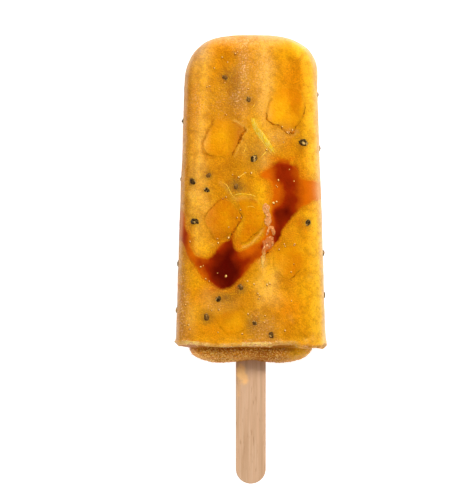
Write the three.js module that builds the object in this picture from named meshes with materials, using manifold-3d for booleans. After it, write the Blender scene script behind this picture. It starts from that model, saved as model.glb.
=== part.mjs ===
// A fruit ice lolly lying on its back: fluted ice with mango pieces, a wound ribbon of fruit
// puree and seeds frozen into it, on a flat wooden stick. Millimetres, +X right, +Y towards the
// rounded top, +Z up from the surface it lies on. The origin is on that surface, half way along.
import * as THREE from "three";
import { mergeVertices } from "three/addons/utils/BufferGeometryUtils.js";
import Module from "manifold-3d";

// ---- Driving dimensions ----

const STICK = { length: 114, width: 10, thickness: 2, bevel: 0.3, endSegments: 10 };
const OVERALL_LENGTH = 149.6; // rounded top to the stick's free end
const ICE_LENGTH = 104.2; // rounded top to the rim
const GAP = 0.3; // clearance between neighbouring pieces

// The ice takes the form of its mould, wider and thicker towards the rim.
const RIM_HALF_WIDTH = 25;
const SHOULDER_HALF_WIDTH = 22.1;
const RIM_THICKNESS = 23;
const SHOULDER_THICKNESS = 19.6;
const EDGE_RADIUS = 6;
const LARGEST_EDGE = 0.9; // of the half width, near the tip
const DOME = { height: 17, power: 2.8, rings: 10, firstRing: 0.35 }; // the rounded top, from the front
const CREST = { height: 8, power: 2.3 }; // the rounded top, from the side

// Two shallow flutes run down each face. Across, they are fractions of the flat half width.
const FLUTE = { inner: 0.25, outer: 1, wall: 0.15, depth: 1 };
const FLUTE_TOP = { start: 3, full: 9 }; // below the rounded top
const FLUTE_FOOT = { start: 7, full: 24 }; // above the rim

// The ragged rim where the ice met the mould's lip, and the plug that swelled out below it.
const RIM = { height: 3.2, flare: 0.3, inset: 0.6, ragged: 0.4, lipHeight: 1.2 };
const RIM_DRIP = { out: 0.25, down: 0.2, x: -24, z: 15, spread: 3.5 };
const PLUG = { height: 5.2, halfWidth: 20.4, halfThickness: 8.4, roundness: 0.85 };
const PLUG_SHRINK = { width: 11, thickness: 6.2 }; // from its root to its end
const PLUG_DIMPLE = { depth: 1.3, halfWidth: 7 }; // where the stick comes out
const PLUG_RINGS = 6;
const BODY_RINGS = 10;

// ---- Places worked out from them ----

const TOP_Y = OVERALL_LENGTH / 2;
const RIM_Y = TOP_Y - ICE_LENGTH;
const SHOULDER_Y = TOP_Y - DOME.height;
const CREST_Y = TOP_Y - CREST.height;
const PLUG_Y = RIM_Y - PLUG.height;

const { lerp, smoothstep, mapLinear, degToRad } = THREE.MathUtils;

// How far a superellipse has drawn in, from 1 at its widest to 0 at its tip.
const taper = (along, power) => (1 - along ** power) ** (1 / power);

const alongBody = (y) => mapLinear(y, RIM_Y, SHOULDER_Y, 0, 1);
const halfThickness = (y) => lerp(RIM_THICKNESS, SHOULDER_THICKNESS, alongBody(y)) / 2;
const midHeight = (y) => halfThickness(y); // the back lies flat at height 0
const halfWidth = (y) =>
  lerp(RIM_HALF_WIDTH, SHOULDER_HALF_WIDTH, Math.min(alongBody(y), 1)) *
  taper(Math.max(0, (y - SHOULDER_Y) / DOME.height), DOME.power);

const fluteDepth = (y) =>
  FLUTE.depth *
  (1 - smoothstep(y, TOP_Y - FLUTE_TOP.full, TOP_Y - FLUTE_TOP.start)) *
  smoothstep(y, RIM_Y + FLUTE_FOOT.start, RIM_Y + FLUTE_FOOT.full);

// The share of the flute's depth at a fraction of the flat half width.
const fluteShare = (fraction) =>
  smoothstep(Math.abs(fraction), FLUTE.inner, FLUTE.inner + FLUTE.wall) *
  (1 - smoothstep(Math.abs(fraction), FLUTE.outer - FLUTE.wall, FLUTE.outer));

// One cross-section of the mould: its half width, its lowest and highest flat and its radius.
function sectionAt(y) {
  const crest = taper(Math.max(0, (y - CREST_Y) / CREST.height), CREST.power);
  const half = halfThickness(y) * crest;
  const radius = Math.min(EDGE_RADIUS * crest, halfWidth(y) * LARGEST_EDGE);
  return { halfWidth: halfWidth(y), half, middle: midHeight(y), radius, flute: fluteDepth(y) };
}

// Height of the front face above the surface the lolly lies on.
function frontHeight(x, y) {
  const { halfWidth: side, half, middle, radius, flute } = sectionAt(y);
  const flat = side - radius;
  const past = Math.min(Math.max(0, Math.abs(x) - flat), radius);
  const rounded = radius - Math.sqrt(radius ** 2 - past ** 2);
  return middle + half - rounded - flute * fluteShare(x / flat);
}

// ---- Closed forms ----

const wasm = await Module();
wasm.setup();

// A three.js geometry as a solid, with its shared vertices merged.
function solidOf(geometry) {
  const bare = geometry.clone();
  bare.deleteAttribute("normal");
  bare.deleteAttribute("uv");
  const merged = mergeVertices(bare, 1e-4);
  return new wasm.Manifold(
    new wasm.Mesh({
      numProp: 3,
      vertProperties: merged.attributes.position.array,
      triVerts: new Uint32Array(merged.index.array),
    }),
  );
}

// The largest body of a solid, as a geometry: loose scraps from the cuts are dropped.
function geometryOf(solid) {
  const [body] = solid.decompose().sort((a, b) => b.volume() - a.volume());
  const { vertProperties, triVerts } = body.simplify(0.004).getMesh();
  const geometry = new THREE.BufferGeometry();
  geometry.setAttribute("position", new THREE.BufferAttribute(vertProperties, 3));
  geometry.setIndex(new THREE.BufferAttribute(triVerts, 1));
  geometry.computeVertexNormals();
  return geometry;
}

// The faces between each ring of points and the next, for rings of equal length.
function skin(count, pairs, first) {
  const at = (ring, step) => first + ring * count + (step % count);
  return pairs.flatMap(([ring, next]) =>
    Array.from({ length: count }, (_, step) => [
      at(ring, step),
      at(ring, step + 1),
      at(next, step + 1),
      at(ring, step),
      at(next, step + 1),
      at(next, step),
    ]).flat(),
  );
}

function skinned(points, faces) {
  const geometry = new THREE.BufferGeometry().setFromPoints(points);
  geometry.setIndex(faces);
  return solidOf(geometry);
}

// A solid through a stack of rings, closed by a point at each end.
function loft(tip, rings, foot) {
  const count = rings[0].length;
  const last = rings.length * count + 1;
  const faces = skin(count, rings.slice(1).map((_, ring) => [ring, ring + 1]), 1);
  for (let step = 0; step < count; step++) {
    const next = (step + 1) % count;
    faces.push(0, 1 + next, 1 + step);
    faces.push(last, last - count + step, last - count + next);
  }
  return skinned([tip, ...rings.flat(), foot], faces);
}

// A solid through a loop of rings, the last one joined to the first.
function loopLoft(rings) {
  const pairs = rings.map((_, ring) => [ring, (ring + 1) % rings.length]);
  return skinned(rings.flat(), skin(rings[0].length, pairs, 0));
}

// ---- The mould form ----

const FLAT_STEPS = [0, 0.25, 0.32, 0.4, 0.5, 0.625, 0.75, 0.85, 0.93, 1];
const FACE_STEPS = [...FLAT_STEPS.slice(1).reverse(), ...FLAT_STEPS.map((step) => -step)];
const CORNER_SEGMENTS = 4;
const SIDE_SEGMENTS = 2;

// Half of the way round a rounded section: over the front from right to left and down the left
// side. Each step has its place across the flat, its direction out, and its place down the side.
function halfRoundSteps() {
  const steps = FACE_STEPS.map((fraction) => ({ fraction, angle: 90 }));
  for (let turn = 1; turn <= CORNER_SEGMENTS; turn++)
    steps.push({ fraction: -1, angle: 90 + (90 * turn) / CORNER_SEGMENTS });
  for (let side = 1; side < SIDE_SEGMENTS; side++)
    steps.push({ fraction: -1, angle: 180, down: side / SIDE_SEGMENTS });
  for (let turn = 0; turn < CORNER_SEGMENTS; turn++)
    steps.push({ fraction: -1, angle: 180 + (90 * turn) / CORNER_SEGMENTS, down: 1 });
  return steps;
}
const HALF_ROUND = halfRoundSteps();

// The points of one section. The back's half is the front's half turned about the middle.
function ring(y, { halfWidth: side, half, middle, radius, flute }) {
  const flat = side - radius;
  const rise = half - radius;
  const halfRing = HALF_ROUND.map(({ fraction, angle, down = 0 }) => {
    const turn = degToRad(angle);
    const onFace = angle === 90 ? flute * fluteShare(fraction) : 0;
    return [
      fraction * flat + radius * Math.cos(turn),
      lerp(rise, -rise, down) + radius * Math.sin(turn) - onFace,
    ];
  });
  const front = halfRing.map(([x, z]) => new THREE.Vector3(x, y, middle + z));
  const back = halfRing.map(([x, z]) => new THREE.Vector3(-x, y, middle - z));
  return [...front, ...back];
}

const swell = (point, centre, spread) => Math.exp(-(((point - centre) / spread) ** 2));

// How far the rim's edge strays at a point: two waves of unlike length, running unlike ways.
const raggedness = ({ x, z }) =>
  (RIM.ragged * (Math.sin(0.83 * x + 0.6 * z) + Math.sin(1.9 * x - 1.1 * z))) / 2;

// The form that the mould gave the ice, without its rim and plug. The first ring of the dome
// lies close to its tip, where the superellipse is nearly flat.
function mouldRings() {
  const levels = [];
  for (let step = DOME.rings; step > 0; step--) {
    const share = (step === DOME.rings ? step - DOME.firstRing : step) / DOME.rings;
    levels.push(SHOULDER_Y + DOME.height * Math.sin((share * Math.PI) / 2) ** (2 / DOME.power));
  }
  const straight = SHOULDER_Y - RIM_Y - RIM.height;
  for (let step = 0; step <= BODY_RINGS; step++)
    levels.push(SHOULDER_Y - (straight * step) / BODY_RINGS);
  return levels.map((y) => ring(y, sectionAt(y)));
}

// One ring of the rim, flared outwards and, where it is the broken edge, ragged. The back isn't
// flared, so that it stays flat to lie on.
function rimRing(y, flare, broken) {
  const middle = midHeight(y);
  return ring(y, sectionAt(y)).map((point) => {
    const { x, z } = point;
    const drip = broken ? swell(x, RIM_DRIP.x, RIM_DRIP.spread) * swell(z, RIM_DRIP.z, RIM_DRIP.spread) : 0;
    const raised = smoothstep(z, 0, EDGE_RADIUS);
    const grow = (flare + drip * RIM_DRIP.out) * raised;
    return new THREE.Vector3(
      x * (1 + grow / RIM_HALF_WIDTH),
      y + (broken ? raggedness(point) - RIM_DRIP.down * drip : 0),
      middle + (z - middle) * (1 + (2 * grow) / RIM_THICKNESS),
    );
  });
}

const rimRings = () => [
  rimRing(RIM_Y + (RIM.height + RIM.lipHeight) / 2, RIM.flare / 2, false),
  rimRing(RIM_Y + RIM.lipHeight, RIM.flare, true),
  rimRing(RIM_Y, -RIM.inset, true),
];

// The plug of ice that swelled out of the mould's mouth, in two lobes beside the stick.
function plugRings() {
  const middle = midHeight(RIM_Y);
  const rings = [];
  for (let step = 0; step <= PLUG_RINGS; step++) {
    const turn = ((step / PLUG_RINGS) * Math.PI) / 2;
    const shrink = 1 - Math.cos(turn);
    const side = PLUG.halfWidth - PLUG_SHRINK.width * shrink;
    const half = PLUG.halfThickness - PLUG_SHRINK.thickness * shrink;
    const y = RIM_Y - PLUG.height * Math.sin(turn);
    const points = ring(y, { halfWidth: side, half, middle, radius: half * PLUG.roundness, flute: 0 });
    for (const point of points)
      point.y += PLUG_DIMPLE.depth * Math.sin(turn) * swell(point.x, 0, PLUG_DIMPLE.halfWidth);
    rings.push(points);
  }
  return rings;
}

function iceForm() {
  const tip = new THREE.Vector3(0, TOP_Y, midHeight(TOP_Y));
  const foot = new THREE.Vector3(0, PLUG_Y + PLUG_DIMPLE.depth, midHeight(RIM_Y));
  return loft(tip, [...mouldRings(), ...rimRings(), ...plugRings()], foot);
}

// ---- The stick ----

const STICK_CENTRE_Y = -TOP_Y + STICK.length / 2;
const STICK_SLOPE = Math.atan2(midHeight(SHOULDER_Y) - midHeight(RIM_Y), SHOULDER_Y - RIM_Y);

// A flat slat with half-round ends and eased edges, centred on the origin, grown all round.
function stickGeometry(grow) {
  const radius = STICK.width / 2;
  const straight = STICK.length / 2 - radius;
  const outline = new THREE.Shape();
  outline.absarc(0, straight, radius, 0, Math.PI);
  outline.absarc(0, -straight, radius, Math.PI, 2 * Math.PI);
  const geometry = new THREE.ExtrudeGeometry(outline, {
    depth: STICK.thickness + 2 * grow - 2 * STICK.bevel,
    bevelThickness: STICK.bevel,
    bevelSize: STICK.bevel,
    bevelOffset: grow - STICK.bevel,
    bevelSegments: 1,
    curveSegments: STICK.endSegments,
  });
  return geometry.translate(0, 0, STICK.bevel - STICK.thickness / 2 - grow);
}

// The stick lies in the middle plane of the tapering ice.
function placeStick(object) {
  object.position.set(0, STICK_CENTRE_Y, midHeight(STICK_CENTRE_Y));
  object.rotation.x = STICK_SLOPE;
  object.updateMatrix();
  return object;
}

const stickPocket = () =>
  solidOf(stickGeometry(GAP).applyMatrix4(placeStick(new THREE.Object3D()).matrix));

// ---- Mango pieces ----

const PIECE = { depth: 8, corner: 1.7, longestCorner: 0.42, proud: 2 };
// How far each piece has drawn in towards its inner end: [share of the depth, share of the width].
const PIECE_END = [[0, 0.5], [0.07, 0.76], [0.22, 0.93], [0.5, 1]];

// Corners of each piece where it shows in a face, going round it clockwise.
const FRONT_CHUNKS = [
  [[-11.2, 47.6], [-4.2, 45.8], [-1.3, 43.2], [-6.9, 33.6], [-14.8, 34.6], [-16.4, 39.2]],
  [[8.2, 57.2], [16.4, 57], [18.4, 51.4], [16.8, 46], [12.6, 41.7], [5.6, 45.8], [4.8, 49.6]],
  [[-9.3, 21.6], [-2.6, 14.7], [-5.3, 9.2], [-11.6, 5.6], [-15.6, 12.8], [-13.6, 17.2]],
  [[7.4, 2.2], [11.2, 5.1], [16.6, 4.4], [18.5, 0.6], [16.4, -4.2], [11.8, -6.9], [7.8, -3.6]],
  [[-11.8, -20.2], [-8.3, -16.4], [-2.6, -17], [0.2, -20.6], [-2.6, -24.2], [-8.4, -25]],
];
const BACK_CHUNKS = [
  [[-15.6, 56], [-8, 58.4], [-3.6, 52], [-6.4, 45.2], [-13.4, 46.2]],
  [[5.2, 41.4], [13.4, 44.6], [17.4, 38], [13, 31.6], [6, 33]],
  [[-16.8, 29.4], [-9.6, 31.6], [-4.6, 26.4], [-8, 19.4], [-15.4, 20.6]],
  [[4.6, -4.4], [12.6, -1], [17.6, -7.4], [14, -14.2], [6.6, -13.2]],
];
const PULP = [
  [-5.2, 20.4], [0.4, 20.6], [4.6, 17.6], [4.6, 12.4], [1.8, 8], [-1.8, 4.9], [-4.2, 6.2], [-1.9, 13.6],
];

// A piece's outline with its corners rounded, as points going round it clockwise.
function pieceOutline(corners) {
  const points = corners.map(([x, y]) => new THREE.Vector2(x, y));
  return points.flatMap((corner, index) => {
    const before = points.at(index - 1).clone().sub(corner);
    const after = points[(index + 1) % points.length].clone().sub(corner);
    const [enter, leave] = [before, after].map((edge) =>
      corner.clone().add(edge.clampLength(0, Math.min(PIECE.corner, edge.length() * PIECE.longestCorner))),
    );
    return new THREE.QuadraticBezierCurve(enter, corner, leave).getPoints(2);
  });
}

// A block from a face of the ice inwards, its inner end rounded off, grown all round.
function pieceBlock(corners, front, grow) {
  const outline = pieceOutline(corners);
  const centre = outline
    .reduce((sum, point) => sum.add(point), new THREE.Vector2())
    .divideScalar(outline.length);
  const outwards = outline.map((_, index) => {
    const along = outline[(index + 1) % outline.length].clone().sub(outline.at(index - 1)).normalize();
    return new THREE.Vector2(-along.y, along.x);
  });
  const face = front ? 2 * midHeight(centre.y) : 0;
  const inward = front ? -1 : 1;
  const level = (inside, width) =>
    outline.map((point, index) => {
      const at = centre.clone().lerp(point, width).addScaledVector(outwards[index], grow);
      return new THREE.Vector3(at.x, at.y, face + inward * inside);
    });
  const deepest = PIECE.depth + grow;
  const ends = PIECE_END.map(([share, width]) => level(deepest * (1 - share), width));
  const tip = new THREE.Vector3(centre.x, centre.y, face + inward * deepest);
  const cap = new THREE.Vector3(centre.x, centre.y, face - inward * PIECE.proud);
  const rings = [...ends, level(-PIECE.proud, 1)];
  return front ? loft(cap, rings.reverse(), tip) : loft(tip, rings, cap);
}

// ---- The ribbon of puree ----

const RIBBON = { steps: 60, sides: 10, depth: 1.6, slope: 0.3, proud: 2, squareness: 0.75 };

// Where the ribbon's two banks lie as it goes round the lolly: over the front from right to left,
// up round the left side, over the back to the right and round the right side to its start.
const FRONT_BANKS = [
  [[20, 26.6], [18.6, 17.8]],
  [[15.4, 29.4], [15.4, 15.2]],
  [[10.6, 32], [12.6, 12]],
  [[6.8, 27.6], [11.2, 10.2]],
  [[6.6, 18], [9.8, 8.2]],
  [[5.4, 9], [8.4, 5.4]],
  [[1.6, 5.6], [4.2, 0]],
  [[-2.8, 3.2], [-2.2, -5.6]],
  [[-6.4, 7.4], [-7.4, -9.6]],
  [[-10.6, 3.4], [-12.8, -8.8]],
  [[-15.6, 1.4], [-17.4, -4]],
  [[-19.6, 3.8], [-20.6, 0.4]],
];
const BACK_BANKS = [
  [[-17.6, 10.4], [-18.4, 4.6]],
  [[-9.4, 14], [-10.2, 3]],
  [[-1.6, 13.6], [-1, 7.6]],
  [[6.2, 21], [8, 12.6]],
  [[13.6, 27.6], [15.4, 17.4]],
  [[19.2, 27.2], [19.6, 21.6]],
];
const LEFT_BANKS = { above: 12.6, below: 5.6 };
const RIGHT_BANKS = { above: 26.6, below: 19.6 };

// One of the ribbon's stations: its banks, and the way out of the ice there.
const frontStation = ([above, below]) => ({
  above: new THREE.Vector3(...above, frontHeight(...above)),
  below: new THREE.Vector3(...below, frontHeight(...below)),
  out: new THREE.Vector3(0, 0, 1),
});
const backStation = ([above, below]) => ({
  above: new THREE.Vector3(...above, 0),
  below: new THREE.Vector3(...below, 0),
  out: new THREE.Vector3(0, 0, -1),
});

// A station on a side of the lolly, or on its corner towards the front (1) or the back (-1).
function sideStation(side, banks, corner) {
  const out = new THREE.Vector3(side, 0, corner).normalize();
  const at = (y) => {
    const { halfWidth: wide, half, middle, radius } = sectionAt(y);
    const centre = new THREE.Vector3(side * (wide - radius), y, middle + corner * (half - radius));
    return centre.addScaledVector(out, radius);
  };
  return { above: at(banks.above), below: at(banks.below), out };
}

function ribbonStations() {
  return [
    ...FRONT_BANKS.map(frontStation),
    sideStation(-1, LEFT_BANKS, 1),
    sideStation(-1, LEFT_BANKS, 0),
    sideStation(-1, LEFT_BANKS, -1),
    ...BACK_BANKS.map(backStation),
    sideStation(1, RIGHT_BANKS, -1),
    sideStation(1, RIGHT_BANKS, 0),
    sideStation(1, RIGHT_BANKS, 1),
  ];
}

// The ribbon runs deeper where it is broader. It stands out of the ice until it is cut flush.
function ribbonSolid(grow) {
  const stations = ribbonStations();
  const curve = (key) => new THREE.CatmullRomCurve3(stations.map((station) => station[key]), true);
  const [above, below, out] = [curve("above"), curve("below"), curve("out")];
  const rings = Array.from({ length: RIBBON.steps }, (_, step) => {
    const share = step / RIBBON.steps;
    const top = above.getPoint(share);
    const across = top.clone().sub(below.getPoint(share));
    const centre = top.clone().addScaledVector(across, -0.5);
    const half = across.length() / 2 + grow;
    const depth = RIBBON.depth + RIBBON.slope * across.length() + grow;
    across.normalize();
    const outwards = out.getPoint(share).normalize();
    return Array.from({ length: RIBBON.sides }, (_, side) => {
      const turn = (-2 * Math.PI * side) / RIBBON.sides;
      const [along, up] = [Math.cos(turn), Math.sin(turn)];
      return centre
        .clone()
        .addScaledVector(across, half * Math.sign(along) * Math.abs(along) ** RIBBON.squareness)
        .addScaledVector(outwards, up * (up > 0 ? RIBBON.proud : depth));
    });
  });
  return loopLoft(rings);
}

// ---- The mango fibre ----

const FIBRE = { radius: 1.15, depth: 0.35, fullness: 0.6, rings: 9, sides: 8 };
const FIBRE_LINE = [[0.6, 47], [1.4, 44.4], [3, 41.4], [5.2, 38.6], [7.8, 35.2]];

// A spindle that lies half sunk in the front face, grown all round.
function fibreSolid(grow) {
  const line = new THREE.CatmullRomCurve3(
    FIBRE_LINE.map(([x, y]) => new THREE.Vector3(x, y, frontHeight(x, y) - FIBRE.depth)),
  );
  const tube = (share) => {
    const centre = line.getPoint(share);
    const along = line.getTangent(share);
    const across = new THREE.Vector3(0, 0, 1).cross(along).normalize();
    const up = along.clone().cross(across);
    const radius = FIBRE.radius * Math.sin(Math.PI * share) ** FIBRE.fullness + grow;
    return Array.from({ length: FIBRE.sides }, (_, side) => {
      const turn = (2 * Math.PI * side) / FIBRE.sides;
      return centre
        .clone()
        .addScaledVector(across, radius * Math.cos(turn))
        .addScaledVector(up, radius * Math.sin(turn));
    });
  };
  const rings = [];
  for (let step = 1; step < FIBRE.rings; step++) rings.push(tube(step / FIBRE.rings));
  const reach = (share, sign) => line.getPoint(share).addScaledVector(line.getTangent(share), sign * grow);
  return loft(reach(0, -1), rings, reach(1, 1));
}

// ---- Seeds fused to the ice ----

const SEED = { length: 2.7, width: 2, height: 1.7, sunk: 0.3 };

// Seeds in the front face: x, y and the share of full size.
const FRONT_SEEDS = [
  [-18.6, 12.5, 1.1], [17.5, 38.8, 1.1], [1, 33.4, 1.05], [18.8, 12.1, 1],
  [-19.2, 25.7, 1], [-14.7, -19.2, 1], [-10.9, -13.3, 0.9], [1.3, -21.2, 0.85],
  [-14.8, 23.1, 0.9], [6.8, -25.2, 0.85], [-3.4, -9.2, 0.85], [-0.8, 53.2, 0.8],
  [-8.6, 60.4, 0.85], [-14.1, 27.8, 0.75], [-4.9, 24.2, 0.75],
];
// Seeds that stand out of the left and right sides: y, share of the thickness, share of full size.
const LEFT_SEEDS = [[-1.4, 0.66, 1], [26.6, 0.62, 0.8], [46, 0.4, 0.9], [-17, 0.36, 0.9]];
const RIGHT_SEEDS = [[2, 0.64, 1], [37, 0.4, 0.9], [-12, 0.36, 0.9], [55, 0.55, 0.8]];
// Seeds strewn down the back's two flutes, where they stay off what the lolly lies on.
const BACK_SEEDS = { perFlute: 6, firstY: -10, lastY: 60, strayY: 3, strayX: 2.6, size: 0.85, seed: 7 };
const BACK_FLUTE_X = 10;
const LEAST_CLEARANCE = 1.6; // from a back seed's middle to a piece's outline

// A small repeatable source of numbers from 0 to 1.
function randomFrom(seed) {
  let state = seed;
  return () => {
    state = (state * 16807) % 2147483647;
    return state / 2147483647;
  };
}

function seedSolid(x, y, z, size, spin, lean = 0) {
  const seed = new THREE.IcosahedronGeometry(0.5, 1);
  seed.scale(SEED.length * size, SEED.width * size, SEED.height * size);
  seed.rotateZ(spin).rotateY(lean).translate(x, y, z);
  return solidOf(seed);
}

const insideOutline = ([x, y], corners) =>
  corners.reduce((inside, [x1, y1], index) => {
    const [x2, y2] = corners.at(index - 1);
    const crosses = y1 > y !== y2 > y && x < x1 + ((y - y1) / (y2 - y1)) * (x2 - x1);
    return crosses ? !inside : inside;
  }, false);

const clearOf = ([x, y], corners) =>
  [[0, 0], [1, 0], [-1, 0], [0, 1], [0, -1]].every(
    ([dx, dy]) => !insideOutline([x + dx * LEAST_CLEARANCE, y + dy * LEAST_CLEARANCE], corners),
  );

// The back's banks make an outline too, out along one and back along the other.
const backRibbonOutline = () => [
  ...BACK_BANKS.map(([above]) => above),
  ...BACK_BANKS.map(([, below]) => below).reverse(),
];

function seedSolids() {
  const random = randomFrom(BACK_SEEDS.seed);
  const seeds = FRONT_SEEDS.map(([x, y, size]) =>
    seedSolid(x, y, frontHeight(x, y) - SEED.sunk * size, size, random() * Math.PI),
  );
  for (const [side, list] of [[-1, LEFT_SEEDS], [1, RIGHT_SEEDS]])
    for (const [y, share, size] of list) {
      const x = side * (halfWidth(y) - SEED.sunk * size);
      seeds.push(seedSolid(x, y, 2 * midHeight(y) * share, size, Math.PI / 2, Math.PI / 2));
    }
  const keepOut = [...BACK_CHUNKS, backRibbonOutline()];
  const stray = (most) => (2 * random() - 1) * most;
  for (const side of [-1, 1])
    for (let step = 0; step < BACK_SEEDS.perFlute; step++) {
      const share = (step + 0.5) / BACK_SEEDS.perFlute;
      const y = lerp(BACK_SEEDS.firstY, BACK_SEEDS.lastY, share) + stray(BACK_SEEDS.strayY);
      const x = side * (BACK_FLUTE_X + stray(BACK_SEEDS.strayX));
      const spin = random() * Math.PI;
      if (keepOut.every((corners) => clearOf([x, y], corners)))
        seeds.push(seedSolid(x, y, fluteDepth(y) + SEED.sunk, BACK_SEEDS.size, spin));
    }
  return seeds;
}

// ---- The whole lolly ----

const FINISH = {
  ice: { color: 0xe89a22, roughness: 0.45 },
  mango: { color: 0xf0a30c, roughness: 0.35 },
  pulp: { color: 0xeda51c, roughness: 0.4 },
  puree: { color: 0x8a2205, roughness: 0.2 },
  wood: { color: 0xd9ae84, roughness: 0.8 },
};

const lolly = new THREE.Group();

function add(name, geometry, finish) {
  const material = new THREE.MeshStandardMaterial({ ...finish, metalness: 0 });
  const mesh = new THREE.Mesh(geometry, material);
  mesh.name = name;
  lolly.add(mesh);
  return mesh;
}

const form = iceForm();
const pockets = [];

function addPiece(name, corners, front, finish) {
  add(name, geometryOf(pieceBlock(corners, front, 0).intersect(form)), finish);
  pockets.push(pieceBlock(corners, front, GAP));
}

FRONT_CHUNKS.forEach((corners, index) => addPiece(`mango_front_${index + 1}`, corners, true, FINISH.mango));
BACK_CHUNKS.forEach((corners, index) => addPiece(`mango_back_${index + 1}`, corners, false, FINISH.mango));
addPiece("mango_pulp", PULP, true, FINISH.pulp);

add("mango_fibre", geometryOf(fibreSolid(0)), FINISH.pulp);
pockets.push(fibreSolid(GAP));

let ribbon = ribbonSolid(0).intersect(form);
for (const pocket of pockets) ribbon = ribbon.subtract(pocket);
add("puree_ribbon", geometryOf(ribbon.subtract(stickPocket())), FINISH.puree);
pockets.push(ribbonSolid(GAP));

let ice = form;
for (const seed of seedSolids()) ice = ice.add(seed);
for (const pocket of [...pockets, stickPocket()]) ice = ice.subtract(pocket);
add("ice", geometryOf(ice), FINISH.ice);

placeStick(add("stick", stickGeometry(0), FINISH.wood));

export default lolly;
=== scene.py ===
"""Dresses a fruit ice lolly: fluted frozen fruit with mango, puree, fibres, seeds, bubbles and frost
in it, on a flat wooden stick. It lies on its back, +Y towards the rounded top and +Z up."""

import functools
import itertools
import math
from collections import namedtuple

import bpy
import numpy as np
from bpy.props import FloatProperty, FloatVectorProperty, PointerProperty
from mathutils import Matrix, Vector


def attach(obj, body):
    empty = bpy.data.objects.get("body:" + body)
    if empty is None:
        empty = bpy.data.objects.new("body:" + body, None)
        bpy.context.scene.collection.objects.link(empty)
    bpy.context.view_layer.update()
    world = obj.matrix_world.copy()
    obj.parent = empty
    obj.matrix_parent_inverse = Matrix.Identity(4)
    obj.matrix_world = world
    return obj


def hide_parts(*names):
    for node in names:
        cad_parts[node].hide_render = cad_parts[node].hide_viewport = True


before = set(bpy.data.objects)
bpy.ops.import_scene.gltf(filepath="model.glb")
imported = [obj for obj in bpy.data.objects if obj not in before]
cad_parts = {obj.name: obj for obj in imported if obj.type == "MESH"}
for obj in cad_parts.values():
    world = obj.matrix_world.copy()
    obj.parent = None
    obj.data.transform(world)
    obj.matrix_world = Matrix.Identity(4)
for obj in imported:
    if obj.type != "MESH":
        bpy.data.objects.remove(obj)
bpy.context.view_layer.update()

bl_info = {
    "name": "Fruit Ice Lolly",
    "version": (1, 0, 0),
    "blender": (4, 5, 0),
    "location": "3D View > Sidebar > Ice lolly",
    "description": "Dresses the solids of a fruit ice lolly in frozen fruit, mango, puree, seeds and wood",
    "category": "Add Mesh",
}

MM = 0.001  # lengths below are in millimetres, and Blender's are in metres

# ---- The mould form, as in the solids ----

RIM = {"height": 3.2, "flare": 0.3, "inset": 1, "ragged": 0.4, "lip": 1.2}
RIM_DRIP = {"out": 0.25, "down": 0.2, "x": -24, "z": 15, "spread": 3.5}
DOME = {"height": 17, "power": 2.8}
CREST = {"height": 8, "power": 2.3}
LARGEST_EDGE = 0.9
FLUTE = {"inner": 0.18, "outer": 1.08, "wall": 0.3}
FLUTE_TOP = {"start": 3, "full": 9}
FLUTE_FOOT = {"start": 7, "full": 24}
PLUG = {"height": 5.2, "half_width": 20.4, "half_thickness": 8.4, "roundness": 0.85}
PLUG_SHRINK = {"width": 11, "thickness": 6.2}
PLUG_DIMPLE = {"depth": 1.3, "half_width": 7}
STICK_BEVEL = 0.3
DOME_LEAN = {"across": 0.5, "start": 56, "full": 67}  # the rounded top leans a little to the right

# The rim's broken lower edge along the front: places in millimetres as x, y.
RIM_LINE = [
    (-25, -28.4), (-21.5, -28.1), (-18.5, -28.5), (-15, -28.75), (-12.8, -29.2), (-7, -29.15), (-2, -28.8),
    (2, -28.7), (5, -28.7), (7, -28.9), (8.6, -28.4), (10, -28.3), (14.8, -28.2), (17, -29.2), (20, -29.5),
    (23.4, -29.5), (25, -28.9),
]

# The two ends of the rim's lower edge: from where to where out it strays, and how far towards the top.
RIM_ENDS = {"left": (19.5, 23.5, 0.9), "right": (19, 23, -0.3)}

LIP_POWER = {"drawn_in": 1.2, "off": 1.6}  # how the lip curves in below the rim and off its faces

# Rows of points along each part of the skin.
ROWS = {"dome": 44, "body": 214, "rim": 8, "lip": 8, "ledge": 5, "plug": 22}
TIP_GAP = 0.4  # how far the first row keeps from the tip, in steps between rows

# ---- What is frozen into it: places in millimetres as x, y ----

FRONT_CHUNKS = [
    [(-11.2, 47.6), (-4.2, 45.8), (-1.3, 43.2), (-6.9, 33.6), (-14.8, 34.6), (-16.4, 39.2)],
    [(8.2, 57.2), (16.4, 57), (18.4, 51.4), (16.8, 46), (12.6, 41.7), (5.6, 45.8), (4.8, 49.6)],
    [(-9.3, 21.6), (-2.6, 14.7), (-5.3, 9.2), (-11.6, 5.6), (-15.6, 12.8), (-13.6, 17.2)],
    [(7.4, 2.2), (11.2, 5.1), (16.6, 4.4), (18.5, 0.6), (16.4, -4.2), (11.8, -6.9), (7.8, -3.6)],
    [(-11.8, -20.2), (-8.3, -16.4), (-2.6, -17), (0.2, -20.6), (-2.6, -24.2), (-8.4, -25)],
]
BACK_CHUNKS = [
    [(-15.6, 56), (-8, 58.4), (-3.6, 52), (-6.4, 45.2), (-13.4, 46.2)],
    [(5.2, 41.4), (13.4, 44.6), (17.4, 38), (13, 31.6), (6, 33)],
    [(-16.8, 29.4), (-9.6, 31.6), (-4.6, 26.4), (-8, 19.4), (-15.4, 20.6)],
    [(4.6, -4.4), (12.6, -1), (17.6, -7.4), (14, -14.2), (6.6, -13.2)],
]
CHUNK_CORNER = {"cut": 1.7, "longest": 0.42}
PULP = [(-5.2, 20.4), (0.4, 20.6), (4.6, 17.6), (4.6, 12.4), (1.8, 8), (-1.8, 4.9), (-4.2, 6.2), (-1.9, 13.6)]

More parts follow.
